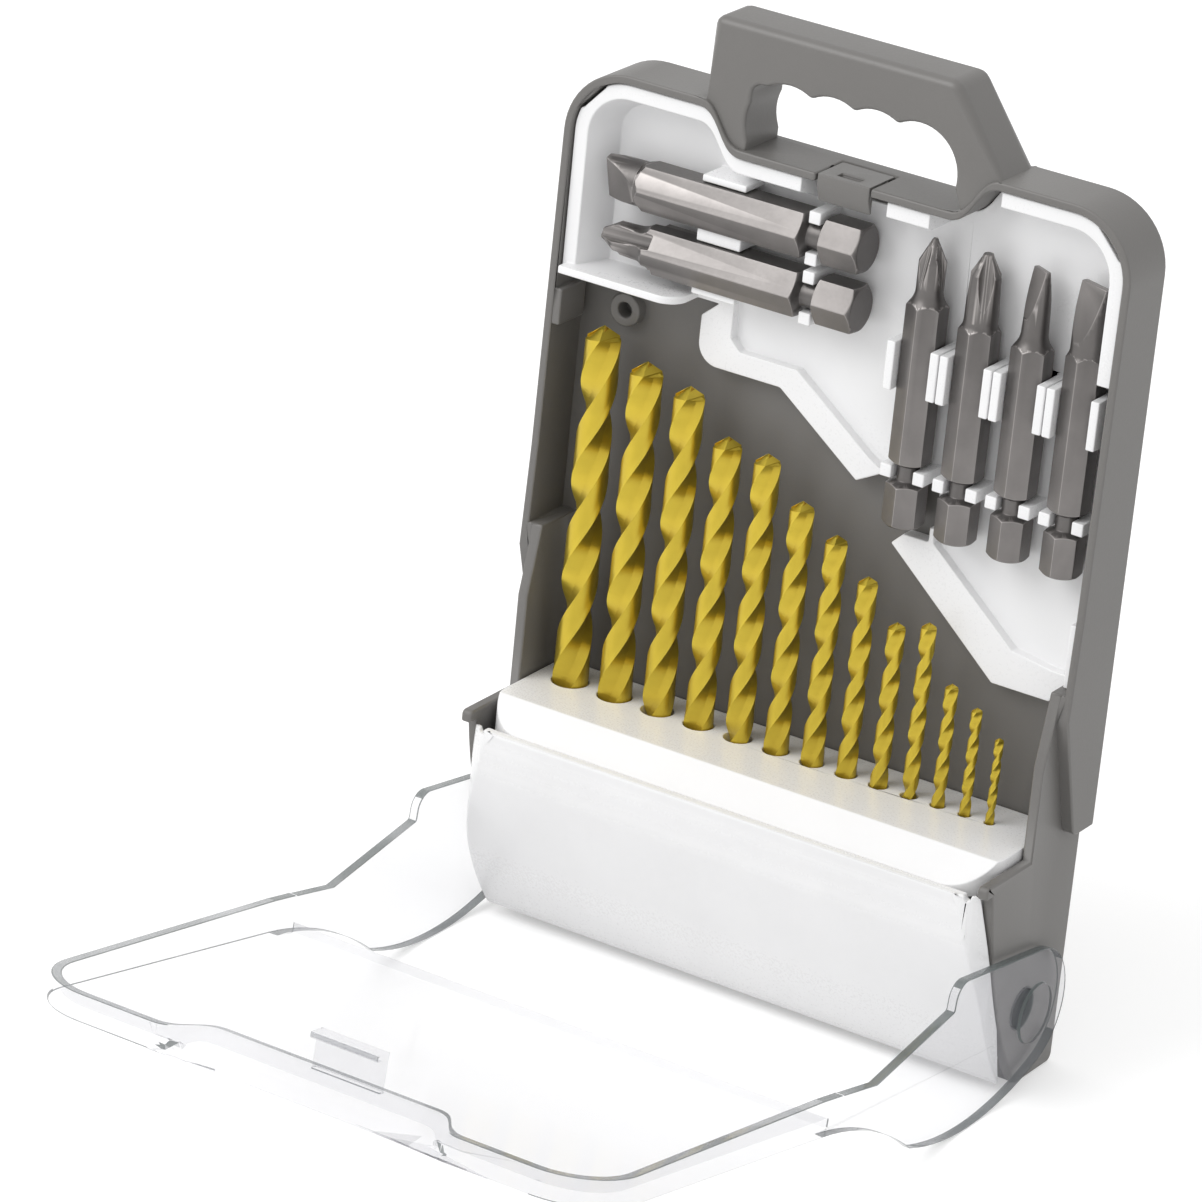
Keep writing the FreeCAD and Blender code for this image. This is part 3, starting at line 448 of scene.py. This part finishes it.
def edge_attribute(mesh):
    """Stores how sharply each vertex sits on an outer edge, from 0 to 1, for the finish's wear and
    painted edge highlight.
    """
    bm = bmesh.new()
    bm.from_mesh(mesh)
    layer = bm.verts.layers.float.new("edge")
    for vert in bm.verts:
        shared = [edge for edge in vert.link_edges if len(edge.link_faces) == 2]
        sharpest = max((edge.calc_face_angle_signed(0.0) for edge in shared), default=0.0)
        sharpest = math.degrees(sharpest)
        vert[layer] = max(0.0, min(1.0, (sharpest - WEAR_AND_HIGHLIGHT_STARTS) / (WEAR_AND_HIGHLIGHT_FULL - WEAR_AND_HIGHLIGHT_STARTS)))
    bm.to_mesh(mesh)
    bm.free()


def depth_attribute(mesh):
    """Stores on each face how deep the plastic is behind it: 0 at a thin skin, 1 at a cut edge.
    Faces that look along the hinge count as thin: one sees through the arms and pivot discs."""
    mesh.calc_loop_triangles()
    places = [vert.co for vert in mesh.vertices]
    tree = BVHTree.FromPolygons(places, [list(item.vertices) for item in mesh.loop_triangles])
    parts = {}
    for item in mesh.loop_triangles:
        corners = [places[index] for index in item.vertices]
        middle = (corners[0] + corners[1] + corners[2]) / 3
        least = CUT_EDGE
        for corner in corners:
            start = corner.lerp(middle, RAY_INSET) - item.normal * RAY_SUNK
            least = min(least, tree.ray_cast(start, -item.normal, DEEPEST)[3] or THIN_SKIN)
        share = max(0.0, (least - THIN_SKIN) / (CUT_EDGE - THIN_SKIN))
        if abs(item.normal.x) > SIDEWAYS:
            share = 0.0
        if item.normal.y > BACKWARDS and abs(middle.x) < PANEL_HALF:
            share *= FEATHERED
        parts.setdefault(item.polygon_index, []).append((item.area, share))
    layer = mesh.attributes.new("depth", "FLOAT", "FACE")
    for index, found in parts.items():
        whole = sum(area for area, share in found)
        if whole:
            layer.data[index].value = sum(area * share for area, share in found) / whole


def linked(name, data):
    """Puts a mesh, lamp or camera into the scene."""
    item = bpy.data.objects.new(name, data)
    bpy.context.scene.collection.objects.link(item)
    return item


def baked(source, name):
    """The evaluated mesh of an object whose modifiers make it, as a plain mesh; the object goes."""
    bpy.context.view_layer.update()
    graph = bpy.context.evaluated_depsgraph_get()
    mesh = bpy.data.meshes.new_from_object(source.evaluated_get(graph))
    old = source.data
    bpy.data.objects.remove(source)
    bpy.data.meshes.remove(old)
    mesh.name = name
    return mesh


def smoothed(mesh, name, angle):
    """Shades a mesh smooth up to an angle in degrees, with its large flats kept flat."""
    for polygon in mesh.polygons:
        polygon.use_smooth = True
    mesh.set_sharp_from_angle(angle=math.radians(angle))
    source = linked(name + "_shading", mesh)
    weigh = source.modifiers.new("Flats", "WEIGHTED_NORMAL")
    weigh.keep_sharp = True
    weigh.weight = FLATS_WEIGHT
    return baked(source, name)


def even(width):
    """The same rounding at every place of a form."""
    return lambda place: width


def squared(bm, corners):
    """Draws round corners of a form out to square ones. Each has a centre, a radius, two outward
    axes, the axis it runs along and how far its far end leans along that axis as it rises."""
    moves = {}
    for centre, radius, first, second, run, lean in corners:
        arc = []
        for vert in bm.verts:
            out = vert.co - centre
            a, b = out.dot(first), out.dot(second)
            if min(a, b) > -AXIS_SLACK and abs(math.hypot(a, b) - radius) < ARC_SLACK:
                arc.append((abs(math.atan2(b, a) - math.pi / 4), vert, a, b))
        middle = sum(vert.co.dot(run) for turn, vert, a, b in arc) / len(arc)
        for near in (True, False):
            end = [item for item in arc if (item[1].co.dot(run) < middle) == near]
            nearest = min(item[0] for item in end) + TURN_SLACK
            for turn, vert, a, b in end:
                move = moves.setdefault(vert, [])
                if turn < nearest or a > b:
                    move.append((first, first, radius - a))
                if turn < nearest or b > a:
                    move.append((second, second if near else second - run * lean, radius - b))
    for vert, steps in moves.items():
        done = []
        for axis, way, length in steps:
            if axis not in done:
                vert.co += way * length
                done.append(axis)


def turned_tip(bm, axis, turn):
    """Turns the tip of a bit that lies along X. The bit is parted at the point given on its axis,
    where its shaft is round, and both cuts are closed."""
    cut = axis.x
    whole = bm.verts[:] + bm.edges[:] + bm.faces[:]
    parted = bmesh.ops.bisect_plane(
        bm, geom=whole, dist=SPECK, plane_co=(cut, 0, 0), plane_no=(1, 0, 0)
    )
    ring = [item for item in parted["geom_cut"] if isinstance(item, bmesh.types.BMEdge)]
    bmesh.ops.split_edges(bm, edges=ring)
    rims = [edge for edge in bm.edges if len(edge.link_faces) == 1]
    left = {face for face in bm.faces if face.calc_center_median().x < cut}
    tip = [vert for vert in bm.verts if all(face in left for face in vert.link_faces)]
    bmesh.ops.edgeloop_fill(bm, edges=rims)
    bmesh.ops.rotate(bm, verts=tip, cent=axis, matrix=Matrix.Rotation(turn, 3, "X"))
    bmesh.ops.recalc_face_normals(bm, faces=bm.faces)


def rounded(node, width_at, segments=2, angle=28.0, smooth=40.0, reshape=None, hollows=True):
    """A copy of a node's mesh, welded, its flats made whole and its edges rounded.
    width_at(place) gives the width of the rounding, and angle the bend in degrees from which an
    edge is rounded. reshape(bm) may change the form first. Without hollows, inner edges stay
    sharp."""
    mesh = frame["nodes"][node].data.copy()
    bm = bmesh.new()
    bm.from_mesh(mesh)
    bmesh.ops.remove_doubles(bm, verts=bm.verts, dist=WELD)
    if reshape:
        reshape(bm)
    bmesh.ops.dissolve_degenerate(bm, edges=bm.edges, dist=SPECK)
    form = BVHTree.FromBMesh(bm)
    bmesh.ops.dissolve_limit(
        bm, angle_limit=FLAT, verts=bm.verts, edges=bm.edges, use_dissolve_boundaries=False
    )
    weight = bm.edges.layers.float.new("bevel_weight_edge")
    widest = 0.0
    for edge in bm.edges:
        sharp = len(edge.link_faces) == 2 and edge.calc_face_angle(0.0) > math.radians(angle)
        if sharp and (hollows or edge.is_convex):
            edge[weight] = width_at(edge.verts[0].co.lerp(edge.verts[1].co, 0.5))
            widest = max(widest, edge[weight])
    for edge in bm.edges:
        edge[weight] /= widest
    bm.to_mesh(mesh)
    bm.free()
    source = linked(node + "_source", mesh)
    bevel = source.modifiers.new("Edges", "BEVEL")
    bevel.width = widest
    bevel.segments = segments
    bevel.limit_method = "WEIGHT"
    bevel.use_clamp_overlap = False
    bevel.miter_outer = "MITER_ARC"
    made = baked(source, node)
    for vert in made.vertices:
        nearest = form.find_nearest(vert.co)
        if nearest[3] > width_at(vert.co) * STRAY:
            vert.co = nearest[0]
    edge_attribute(made)
    return smoothed(made, node, smooth)


def finished(name, mesh, body, material):
    """Links a mesh as a finished piece that rides on its body."""
    mesh.name = name
    mesh.materials.clear()
    mesh.materials.append(material)
    for polygon in mesh.polygons:
        polygon.material_index = 0
    piece = linked(name, mesh)
    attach(piece, body)
    return piece


def dress(node, body, slot, material, width_at, name, **form):
    """Rounds a node's form, as rounded() says, and puts the finished piece in its place."""
    piece = finished(name, rounded(node, width_at, **form), body, material)
    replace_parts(piece, node)


# Case

HANDLE_FOOT = 0.0035  # height of the handle's foot above the tray
HANDLE_CLEAR = 0.001  # height above that from which all of the shell is handle
FRONT_ROUND, BACK_ROUND = 0.004, 0.003  # rounds of the CAD handle's top edges
LEG_LEAN = 0.701  # how far the right leg of the handle leans in for each metre it rises
GRIP_LEFT, GRIP_RIGHT = 0.003, 0.0075  # how far the finger hole goes past its opening's sides
GRIP_LIFT, GRIP_RISE = 0.0012, 0.0022  # how far its edges lie above the opening's foot and top


class CASE_OT_shell(Operator):
    """Dress the shell and the latch in grained grey plastic"""

    bl_idname = "drillcase.shell"
    bl_label = "Shell and latch"

    def execute(self, context):
        looks = context.scene.case_looks
        sizes = context.scene.case_sizes
        grey = moulded("grey_moulding", tuple(looks.grey), GREY_ROUGH, GREY_GRAIN)
        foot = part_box("bit_tray")[1].z + HANDLE_FOOT
        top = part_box("back_shell")[1].z
        grip_low, grip_high = OPENINGS["handle_grip"]

        def shell_width(place):
            beside = grip_low[0] - GRIP_LEFT < place.x < grip_high[0] + GRIP_RIGHT
            if beside and grip_low[2] + GRIP_LIFT < place.z < grip_high[2] + GRIP_RISE:
                return sizes.grip_round
            return sizes.handle_round if place.z > foot else sizes.shell_round

        def crown(bm):
            """Squares the top edges of the handle, which the CAD rounds more than the real one."""
            above, across, along = Vector((0, 0, 1)), Vector((0, 1, 0)), Vector((1, 0, 0))
            handle = [vert.co for vert in bm.verts if vert.co.z > foot + HANDLE_CLEAR]
            front = Vector((0, min(place.y for place in handle) + FRONT_ROUND, top - FRONT_ROUND))
            back = Vector((0, max(place.y for place in handle) - BACK_ROUND, top - BACK_ROUND))
            left = Vector((min(place.x for place in handle) + BACK_ROUND, 0, top - BACK_ROUND))
            corners = (
                (front, FRONT_ROUND, -across, above, along, LEG_LEAN),
                (back, BACK_ROUND, across, above, along, LEG_LEAN),
                (left, BACK_ROUND, -along, above, across, 0.0),
            )
            squared(bm, corners)

        dress(
            "back_shell", "shell", "grey_plastic", grey, shell_width, "shell_moulding",
            segments=3, reshape=crown, hollows=False,
        )
        latch_width = even(sizes.shell_round / 2)
        dress("latch_rocker", "latch", "grey_plastic", grey, latch_width, "latch_moulding")
        return {"FINISHED"}


class CASE_OT_tray(Operator):
    """Dress the tray of the driver bits in white plastic"""

    bl_idname = "drillcase.tray"
    bl_label = "Bit tray"

    def execute(self, context):
        looks = context.scene.case_looks
        sizes = context.scene.case_sizes
        white = white_moulding(tuple(looks.white))
        dress("bit_tray", "shell", "white_plastic", white, even(sizes.tray_round), "tray_moulding")
        return {"FINISHED"}


class CASE_OT_holder(Operator):
    """Dress the drill block and its front cover in white plastic"""

    bl_idname = "drillcase.holder"
    bl_label = "Drill holder"

    def execute(self, context):
        looks = context.scene.case_looks
        sizes = context.scene.case_sizes
        white = white_moulding(tuple(looks.white))
        block_width, cover_width = even(sizes.holder_round / 2), even(sizes.holder_round)
        dress("drill_block", "holder", "white_plastic", white, block_width, "block_moulding")
        dress("front_cover", "holder", "white_plastic", white, cover_width, "cover_moulding")
        return {"FINISHED"}


class CASE_OT_lid(Operator):
    """Dress the lid in clear plastic"""

    bl_idname = "drillcase.lid"
    bl_label = "Clear lid"

    def execute(self, context):
        looks = context.scene.case_looks
        sizes = context.scene.case_sizes
        clear = clear_moulding("clear_moulding", tuple(looks.clear), tuple(looks.rim))
        mesh = rounded("lid", even(sizes.lid_round))
        depth_attribute(mesh)
        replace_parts(finished("lid_moulding", mesh, "lid", clear), "lid")
        return {"FINISHED"}


# Drills

LAND_TURN = math.radians(77)  # turn that one land takes up round the drill
LAND_SHARE = 0.4  # share of a side's columns that lie on its land
LAND_SLACK = 0.001  # keeps the land's last column on the land
BODY_SHARE = 0.965  # radius of the land behind its margin, in drill radii
MARGIN_SHARE = 0.82  # share of the land at which the margin starts
TIP_TURN = math.radians(-147)  # turn of the first land at the shoulder of the point
RELIEF = 0.2  # fall of the point behind its lip, in drill radii for each radian
RUN_OUT = 2.6  # length in which a flute reaches its depth, in drill radii
SUNK = 1.4  # how far below the block's top the flutes start, in drill diameters
FLUTE_SHOWN = 1.3  # how strongly a flute's depth shows in the finish: painted shade, a browner coating and more roughness
FOOT_ROWS = 2  # rows of the mesh for the end face and the plain shank
CAP_ROWS = 3  # rows of the mesh for the point
SLIGHT = 0.0001  # keeps a row or column on its own side of a border
SEAM = 0.0000005  # metres within which the mesh's seam and poles close
DRILL_SMOOTH = 38.0  # degrees of bend up to which a drill is shaded smooth

DRILL_INPUTS = (
    ("Radius", "Float", 0.003),
    ("Foot", "Float", 0.0),
    ("Flute start", "Float", 0.01),
    ("Tip", "Float", 0.1),
    ("Lead", "Float", 0.02),
    ("Web", "Float", 0.24),
    ("Point", "Float", 0.6),
    ("Columns", "Int", 40),
    ("Rows", "Int", 60),
    ("Place", "Vector", (0.0, 0.0, 0.0)),
    ("Finish", "Material", None),
)


def fluted_outline(tree, share, web):
    """Half the outline of a drill of radius 1, for a share of the way round that half. Gives its x
    and y, the shares of the way along the land and the flute, and 1 on the land or 0 off it."""
    on_land = share < LAND_SHARE + LAND_SLACK
    land = (share / LAND_SHARE).held()
    flute = ((share - LAND_SHARE) / (1 - LAND_SHARE)).held()
    half = (math.pi - LAND_TURN) / 2
    middle = LAND_TURN + half
    centre = (1 - web * web) / (2 * (math.cos(half) - web))
    arc = centre - web
    sides = {0: math.sin(half), 1: centre - math.cos(half)}
    spread = tree.add("ShaderNodeMath", {"operation": "ARCTAN2"}, sides)[0]
    reach = BODY_SHARE + (land > MARGIN_SHARE) * (1 - BODY_SHARE)
    land_x = (land * LAND_TURN).cos() * reach
    land_y = (land * LAND_TURN).sin() * reach
    swing = middle + math.pi - spread * (1 - 2 * flute)
    shrink = 1 - flute * (1 - BODY_SHARE)
    flute_x = (centre * math.cos(middle) + arc * swing.cos()) * shrink
    flute_y = (centre * math.sin(middle) + arc * swing.sin()) * shrink
    x = flute_x + on_land * (land_x - flute_x)
    y = flute_y + on_land * (land_y - flute_y)
    return x, y, land, flute, on_land


def then(tree, kind, form, inputs=None, settings=None):
    """The form after one more geometry node."""
    return tree.add(kind, settings, {"Geometry": form, **(inputs or {})})["Geometry"]


def stored_on(tree, form, name, value):
    """The form with a number stored on each of its points."""
    settings = {"data_type": "FLOAT", "domain": "POINT"}
    inputs = {"Name": name, "Value": value}
    return then(tree, "GeometryNodeStoreNamedAttribute", form, inputs, settings)


def drill_group():
    """The node group of a twist drill: a grid whose columns follow the flutes, wrapped into the
    drill's form. Its first rows are the end face and the shank, its last ones the point."""
    group = bpy.data.node_groups.new("Twist drill", "GeometryNodeTree")
    for name, kind, default in DRILL_INPUTS:
        socket = group.interface.new_socket(name, in_out="INPUT", socket_type="NodeSocket" + kind)
        socket.default_value = default
    group.interface.new_socket("Geometry", in_out="OUTPUT", socket_type="NodeSocketGeometry")
    tree = Tree(group)
    given = tree.add("NodeGroupInput")
    radius, foot, start, tip = given["Radius"], given["Foot"], given["Flute start"], given["Tip"]
    lead, point, rows = given["Lead"], given["Point"], given["Rows"]

    counts = {"Vertices X": given["Columns"] + 1, "Vertices Y": rows + (FOOT_ROWS + CAP_ROWS + 1)}
    grid = tree.add("GeometryNodeMeshGrid", None, {"Size X": 1.0, "Size Y": 1.0, **counts})
    position = tree.add("GeometryNodeInputPosition")["Position"]
    apart = tree.add("ShaderNodeSeparateXYZ", None, {0: position})
    around = (apart[0] + 0.5) * 2.0
    row = (apart[1] + 0.5) * (rows + (FOOT_ROWS + CAP_ROWS))
    side = (around + SLIGHT).floor()
    share = (around - side).held()
    fluted_x, fluted_y, land, flute, on_land = fluted_outline(tree, share, given["Web"])

    along = ((row - FOOT_ROWS) / rows).held()
    cap = ((row - FOOT_ROWS - rows) / CAP_ROWS).held()
    shoulder = tip - radius / point
    low = foot + (row - 1).held() * (start - foot) + along * (shoulder - start)
    cut = ((low - start) / (radius * RUN_OUT)).held()
    cut = cut * cut * (3 - 2 * cut)
    ring_x = (share * math.pi).cos()
    ring_y = (share * math.pi).sin()
    flat_x = ring_x + cut * (fluted_x - ring_x)
    flat_y = ring_y + cut * (fluted_y - ring_y)
    out = (flat_x * flat_x + flat_y * flat_y).math("SQRT", flat_x * flat_x + flat_y * flat_y)
    behind = (flute + on_land * (1 - land - flute)) * LAND_TURN
    rim = tip - out * radius * (1 / point + behind * RELIEF)
    side_z = low + (along > 1 - SLIGHT) * (rim - low)
    top_z = tip - out * radius * (1 - cap) * (1 / point + behind * RELIEF)
    height = side_z + (cap > SLIGHT) * (top_z - side_z)
    scale = radius * (1 - cap) * row.held()
    turn = TIP_TURN + side * math.pi + (side_z - shoulder) / lead * (2 * math.pi)
    x = (flat_x * turn.cos() - flat_y * turn.sin()) * scale
    y = (flat_x * turn.sin() + flat_y * turn.cos()) * scale

    spot = tree.add("ShaderNodeCombineXYZ", None, {0: x, 1: y, 2: height})[0]
    spot = tree.add("ShaderNodeVectorMath", {"operation": "ADD"}, {0: spot, 1: given["Place"]})[0]
    shown = cut * (1 - out) * (1 - cap) * FLUTE_SHOWN
    form = stored_on(tree, grid["Mesh"], "flute", shown)
    form = then(tree, "GeometryNodeSetPosition", form, {"Position": spot})
    form = stored_on(tree, form, "margin", cut * on_land * (land > MARGIN_SHARE))
    form = then(tree, "GeometryNodeMergeByDistance", form, {"Distance": SEAM})
    form = then(tree, "GeometryNodeRealizeInstances", form)
    form = then(tree, "GeometryNodeSetMaterial", form, {"Material": given["Finish"]})
    tree.add("NodeGroupOutput", None, {0: form})
    return group


class CASE_OT_drills(Operator):
    """Make the thirteen gold twist drills"""

    bl_idname = "drillcase.drills"
    bl_label = "Twist drills"

    def execute(self, context):
        looks = context.scene.case_looks
        sizes = context.scene.case_sizes
        gold = gold_coating("gold_coating", tuple(looks.gold))
        group = drill_group()
        inputs = [item for item in group.interface.items_tree if item.in_out == "INPUT"]
        keys = {item.name: item.identifier for item in inputs}
        block_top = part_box("drill_block")[1].z
        for name in DRILL_NAMES:
            low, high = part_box(name)
            size = high.x - low.x
            lead = sizes.lead_share * size
            start = block_top - SUNK * size
            values = {
                "Radius": size / 2,
                "Foot": low.z,
                "Flute start": start,
                "Tip": high.z,
                "Lead": lead,
                "Web": sizes.web_share,
                "Point": math.tan(sizes.point_angle / 2),
                "Columns": sizes.columns,
                "Rows": math.ceil((high.z - start) / lead * 2 * math.pi / sizes.row_step),
                "Place": ((low.x + high.x) / 2, (low.y + high.y) / 2, 0.0),
                "Finish": gold,
            }
            source = linked(name + "_source", bpy.data.meshes.new(name))
            modifier = source.modifiers.new("Twist", "NODES")
            modifier.node_group = group
            for key, value in values.items():
                modifier[keys[key]] = value
            made = baked(source, name)
            if not made.polygons:
                raise RuntimeError(f"{name} came out empty")
            made = smoothed(made, name, DRILL_SMOOTH)
            piece = finished(name + "_twist", made, name, gold)
            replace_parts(piece, name)
        return {"FINISHED"}


# Driver bits

TURNED_BIT = "bit_6_slot_wide"  # its blade stands at another angle than in the CAD
CUT_SLACK = 0.00002  # how near the parting an edge of it has to lie to stay sharp
BIT_ANGLE, WIDE_BIT_ANGLE = 20.0, 32.0  # degrees of bend from which an edge is rounded
BIT_SMOOTH = 24.0  # degrees of bend up to which a bit is shaded smooth


class CASE_OT_bits(Operator):
    """Dress the six driver bits in dark steel"""

    bl_idname = "drillcase.bits"
    bl_label = "Driver bits"

    def execute(self, context):
        looks = context.scene.case_looks
        sizes = context.scene.case_sizes
        steel = dark_finish("dark_finish", tuple(looks.steel))
        low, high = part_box(TURNED_BIT)
        parting = (low + high) / 2
        parting.x = low.x + sizes.blade

        def parted_width(place):
            return 0.0 if abs(place.x - parting.x) < CUT_SLACK else sizes.bit_round

        def turn_blade(bm):
            turned_tip(bm, parting, sizes.blade_turn)

        for name in BIT_NAMES:
            turned = name == TURNED_BIT
            dress(
                name, name, "dark_steel", steel,
                parted_width if turned else even(sizes.bit_round),
                name + "_steel",
                angle=WIDE_BIT_ANGLE if "wide" in name else BIT_ANGLE,
                smooth=BIT_SMOOTH,
                reshape=turn_blade if turned else None,
            )
        return {"FINISHED"}


# Studio

WHITE = (1.0, 1.0, 1.0, 1.0)
PAPER = (0.8, 0.8, 0.8, 1.0)
PAPER_ROUGH = 0.9
PAPER_GLOW = 0.38  # light that the paper adds where it is looked at
FLOOR_HALF = 20.0
KEY_PLACE = Vector((-0.55, -0.75, 0.95))  # above the case's front left
KEY_SIZE = 0.8
SENSOR = 36.0  # millimetres across the camera's film
CLIP_START, CLIP_END = 0.05, 100.0


def looked_at(tree):
    """1 for a ray from the camera or off gloss or through glass, 0 for soft light."""
    rays = tree.add("ShaderNodeLightPath")
    return (rays["Is Camera Ray"] + rays["Is Glossy Ray"] + rays["Is Transmission Ray"]).held()


def floor_finish():
    """White paper: it shows white to the camera and in glass and metal, and keeps the shadow."""
    material = bpy.data.materials.new("studio_floor")
    material.use_nodes = True
    tree = Tree(material.node_tree)
    paper = {"Base Color": PAPER, "Roughness": PAPER_ROUGH, "Emission Color": WHITE}
    seen = looked_at(tree)
    plain = tree.add("ShaderNodeBsdfPrincipled", None, {**paper, "Emission Strength": 0.0})
    lit = tree.add("ShaderNodeBsdfPrincipled", None, {**paper, "Emission Strength": PAPER_GLOW})
    mixed = tree.add("ShaderNodeMixShader", None, {0: seen, 1: plain["BSDF"], 2: lit["BSDF"]})
    tree.add("ShaderNodeOutputMaterial", None, {"Surface": mixed[0]})
    return material


def lay_floor():
    half = FLOOR_HALF
    mesh = bpy.data.meshes.new("floor")
    corners = [(-half, -half, 0), (half, -half, 0), (half, half, 0), (-half, half, 0)]
    mesh.from_pydata(corners, [], [(0, 1, 2, 3)])
    mesh.materials.append(floor_finish())
    floor = linked("floor", mesh)


def light_sky(scene, fill):
    """An even white sky, dimmed where it only lights the case."""
    world = bpy.data.worlds.new("studio")
    world.use_nodes = True
    scene.world = world
    tree = Tree(world.node_tree)
    level = fill + looked_at(tree) * (1 - fill)
    sky = tree.add("ShaderNodeBackground", None, {"Color": WHITE, "Strength": level})
    tree.add("ShaderNodeOutputWorld", None, {"Surface": sky[0]})


def hang_lamp(name, place, target, size, watts):
    """A square lamp that faces the target."""
    data = bpy.data.lights.new(name, "AREA")
    data.size = size
    data.energy = watts
    lamp = linked(name, data)
    lamp.location = place
    lamp.rotation_mode = "QUATERNION"
    lamp.rotation_quaternion = (target - place).to_track_quat("-Z", "Y")


def set_camera(scene, studio):
    """Sets the camera by its angles, its distance and the two shifts of its view."""
    around, above, roll = studio.azimuth, studio.elevation, studio.roll
    right = Vector((math.cos(around), math.sin(around), 0))
    level = math.cos(above)
    back = Vector((math.sin(around) * level, -math.cos(around) * level, math.sin(above)))
    up = Vector(
        (-math.sin(above) * math.sin(around), math.sin(above) * math.cos(around), math.cos(above))
    )
    aim = Vector((0, 0, studio.target_height)) + right * studio.aside + up * studio.upward
    turned = right * math.cos(roll) + up * math.sin(roll)
    upright = up * math.cos(roll) - right * math.sin(roll)
    data = bpy.data.cameras.new("camera")
    data.lens = studio.lens
    data.sensor_width = SENSOR
    data.clip_start = CLIP_START
    data.clip_end = CLIP_END
    camera = linked("camera", data)
    matrix = Matrix((turned, upright, back)).transposed().to_4x4()
    matrix.translation = aim + back * studio.distance
    camera.matrix_world = matrix
    scene.camera = camera


class CASE_OT_studio(Operator):
    """Set the floor, the light and the camera"""

    bl_idname = "drillcase.studio"
    bl_label = "Studio"

    def execute(self, context):
        scene = context.scene
        studio = scene.case_studio
        scene.view_settings.view_transform = "Standard"
        lay_floor()
        light_sky(scene, studio.fill)
        low, high = (Vector(corner) for corner in BARE_BOX)
        target = Vector(((low.x + high.x) / 2, 0.0, (low.z + high.z) / 2))
        hang_lamp("key", KEY_PLACE, target, KEY_SIZE, studio.key)
        set_camera(scene, studio)
        return {"FINISHED"}


# Add-on


class CASE_PT_sidebar(Panel):
    """Steps and settings of the drill bit case"""

    bl_idname = "CASE_PT_sidebar"
    bl_label = "Drill bit case"
    bl_space_type = "VIEW_3D"
    bl_region_type = "UI"
    bl_category = "Drill case"

    def draw(self, context):
        for operator in OPERATORS:
            self.layout.operator(operator.bl_idname)
        for name, kind in GROUPS.items():
            box = self.layout.box()
            for setting in kind.__annotations__:
                box.prop(getattr(context.scene, name), setting)


OPERATORS = (
    CASE_OT_studio,
    CASE_OT_shell,
    CASE_OT_tray,
    CASE_OT_holder,
    CASE_OT_lid,
    CASE_OT_drills,
    CASE_OT_bits,
)
GROUPS = {"case_looks": CaseLooks, "case_sizes": CaseSizes, "case_studio": CaseStudio}


def register():
    for name, group in GROUPS.items():
        bpy.utils.register_class(group)
        setattr(bpy.types.Scene, name, PointerProperty(type=group))
    for kind in (*OPERATORS, CASE_PT_sidebar):
        bpy.utils.register_class(kind)


def unregister():
    for kind in reversed((*OPERATORS, CASE_PT_sidebar)):
        bpy.utils.unregister_class(kind)
    for name, group in GROUPS.items():
        delattr(bpy.types.Scene, name)
        bpy.utils.unregister_class(group)


def main():
    register()
    bpy.ops.drillcase.studio()
    bpy.ops.drillcase.shell()
    bpy.ops.drillcase.tray()
    bpy.ops.drillcase.holder()
    bpy.ops.drillcase.lid()
    bpy.ops.drillcase.drills()
    bpy.ops.drillcase.bits()


if __name__ == "__main__":
    main()
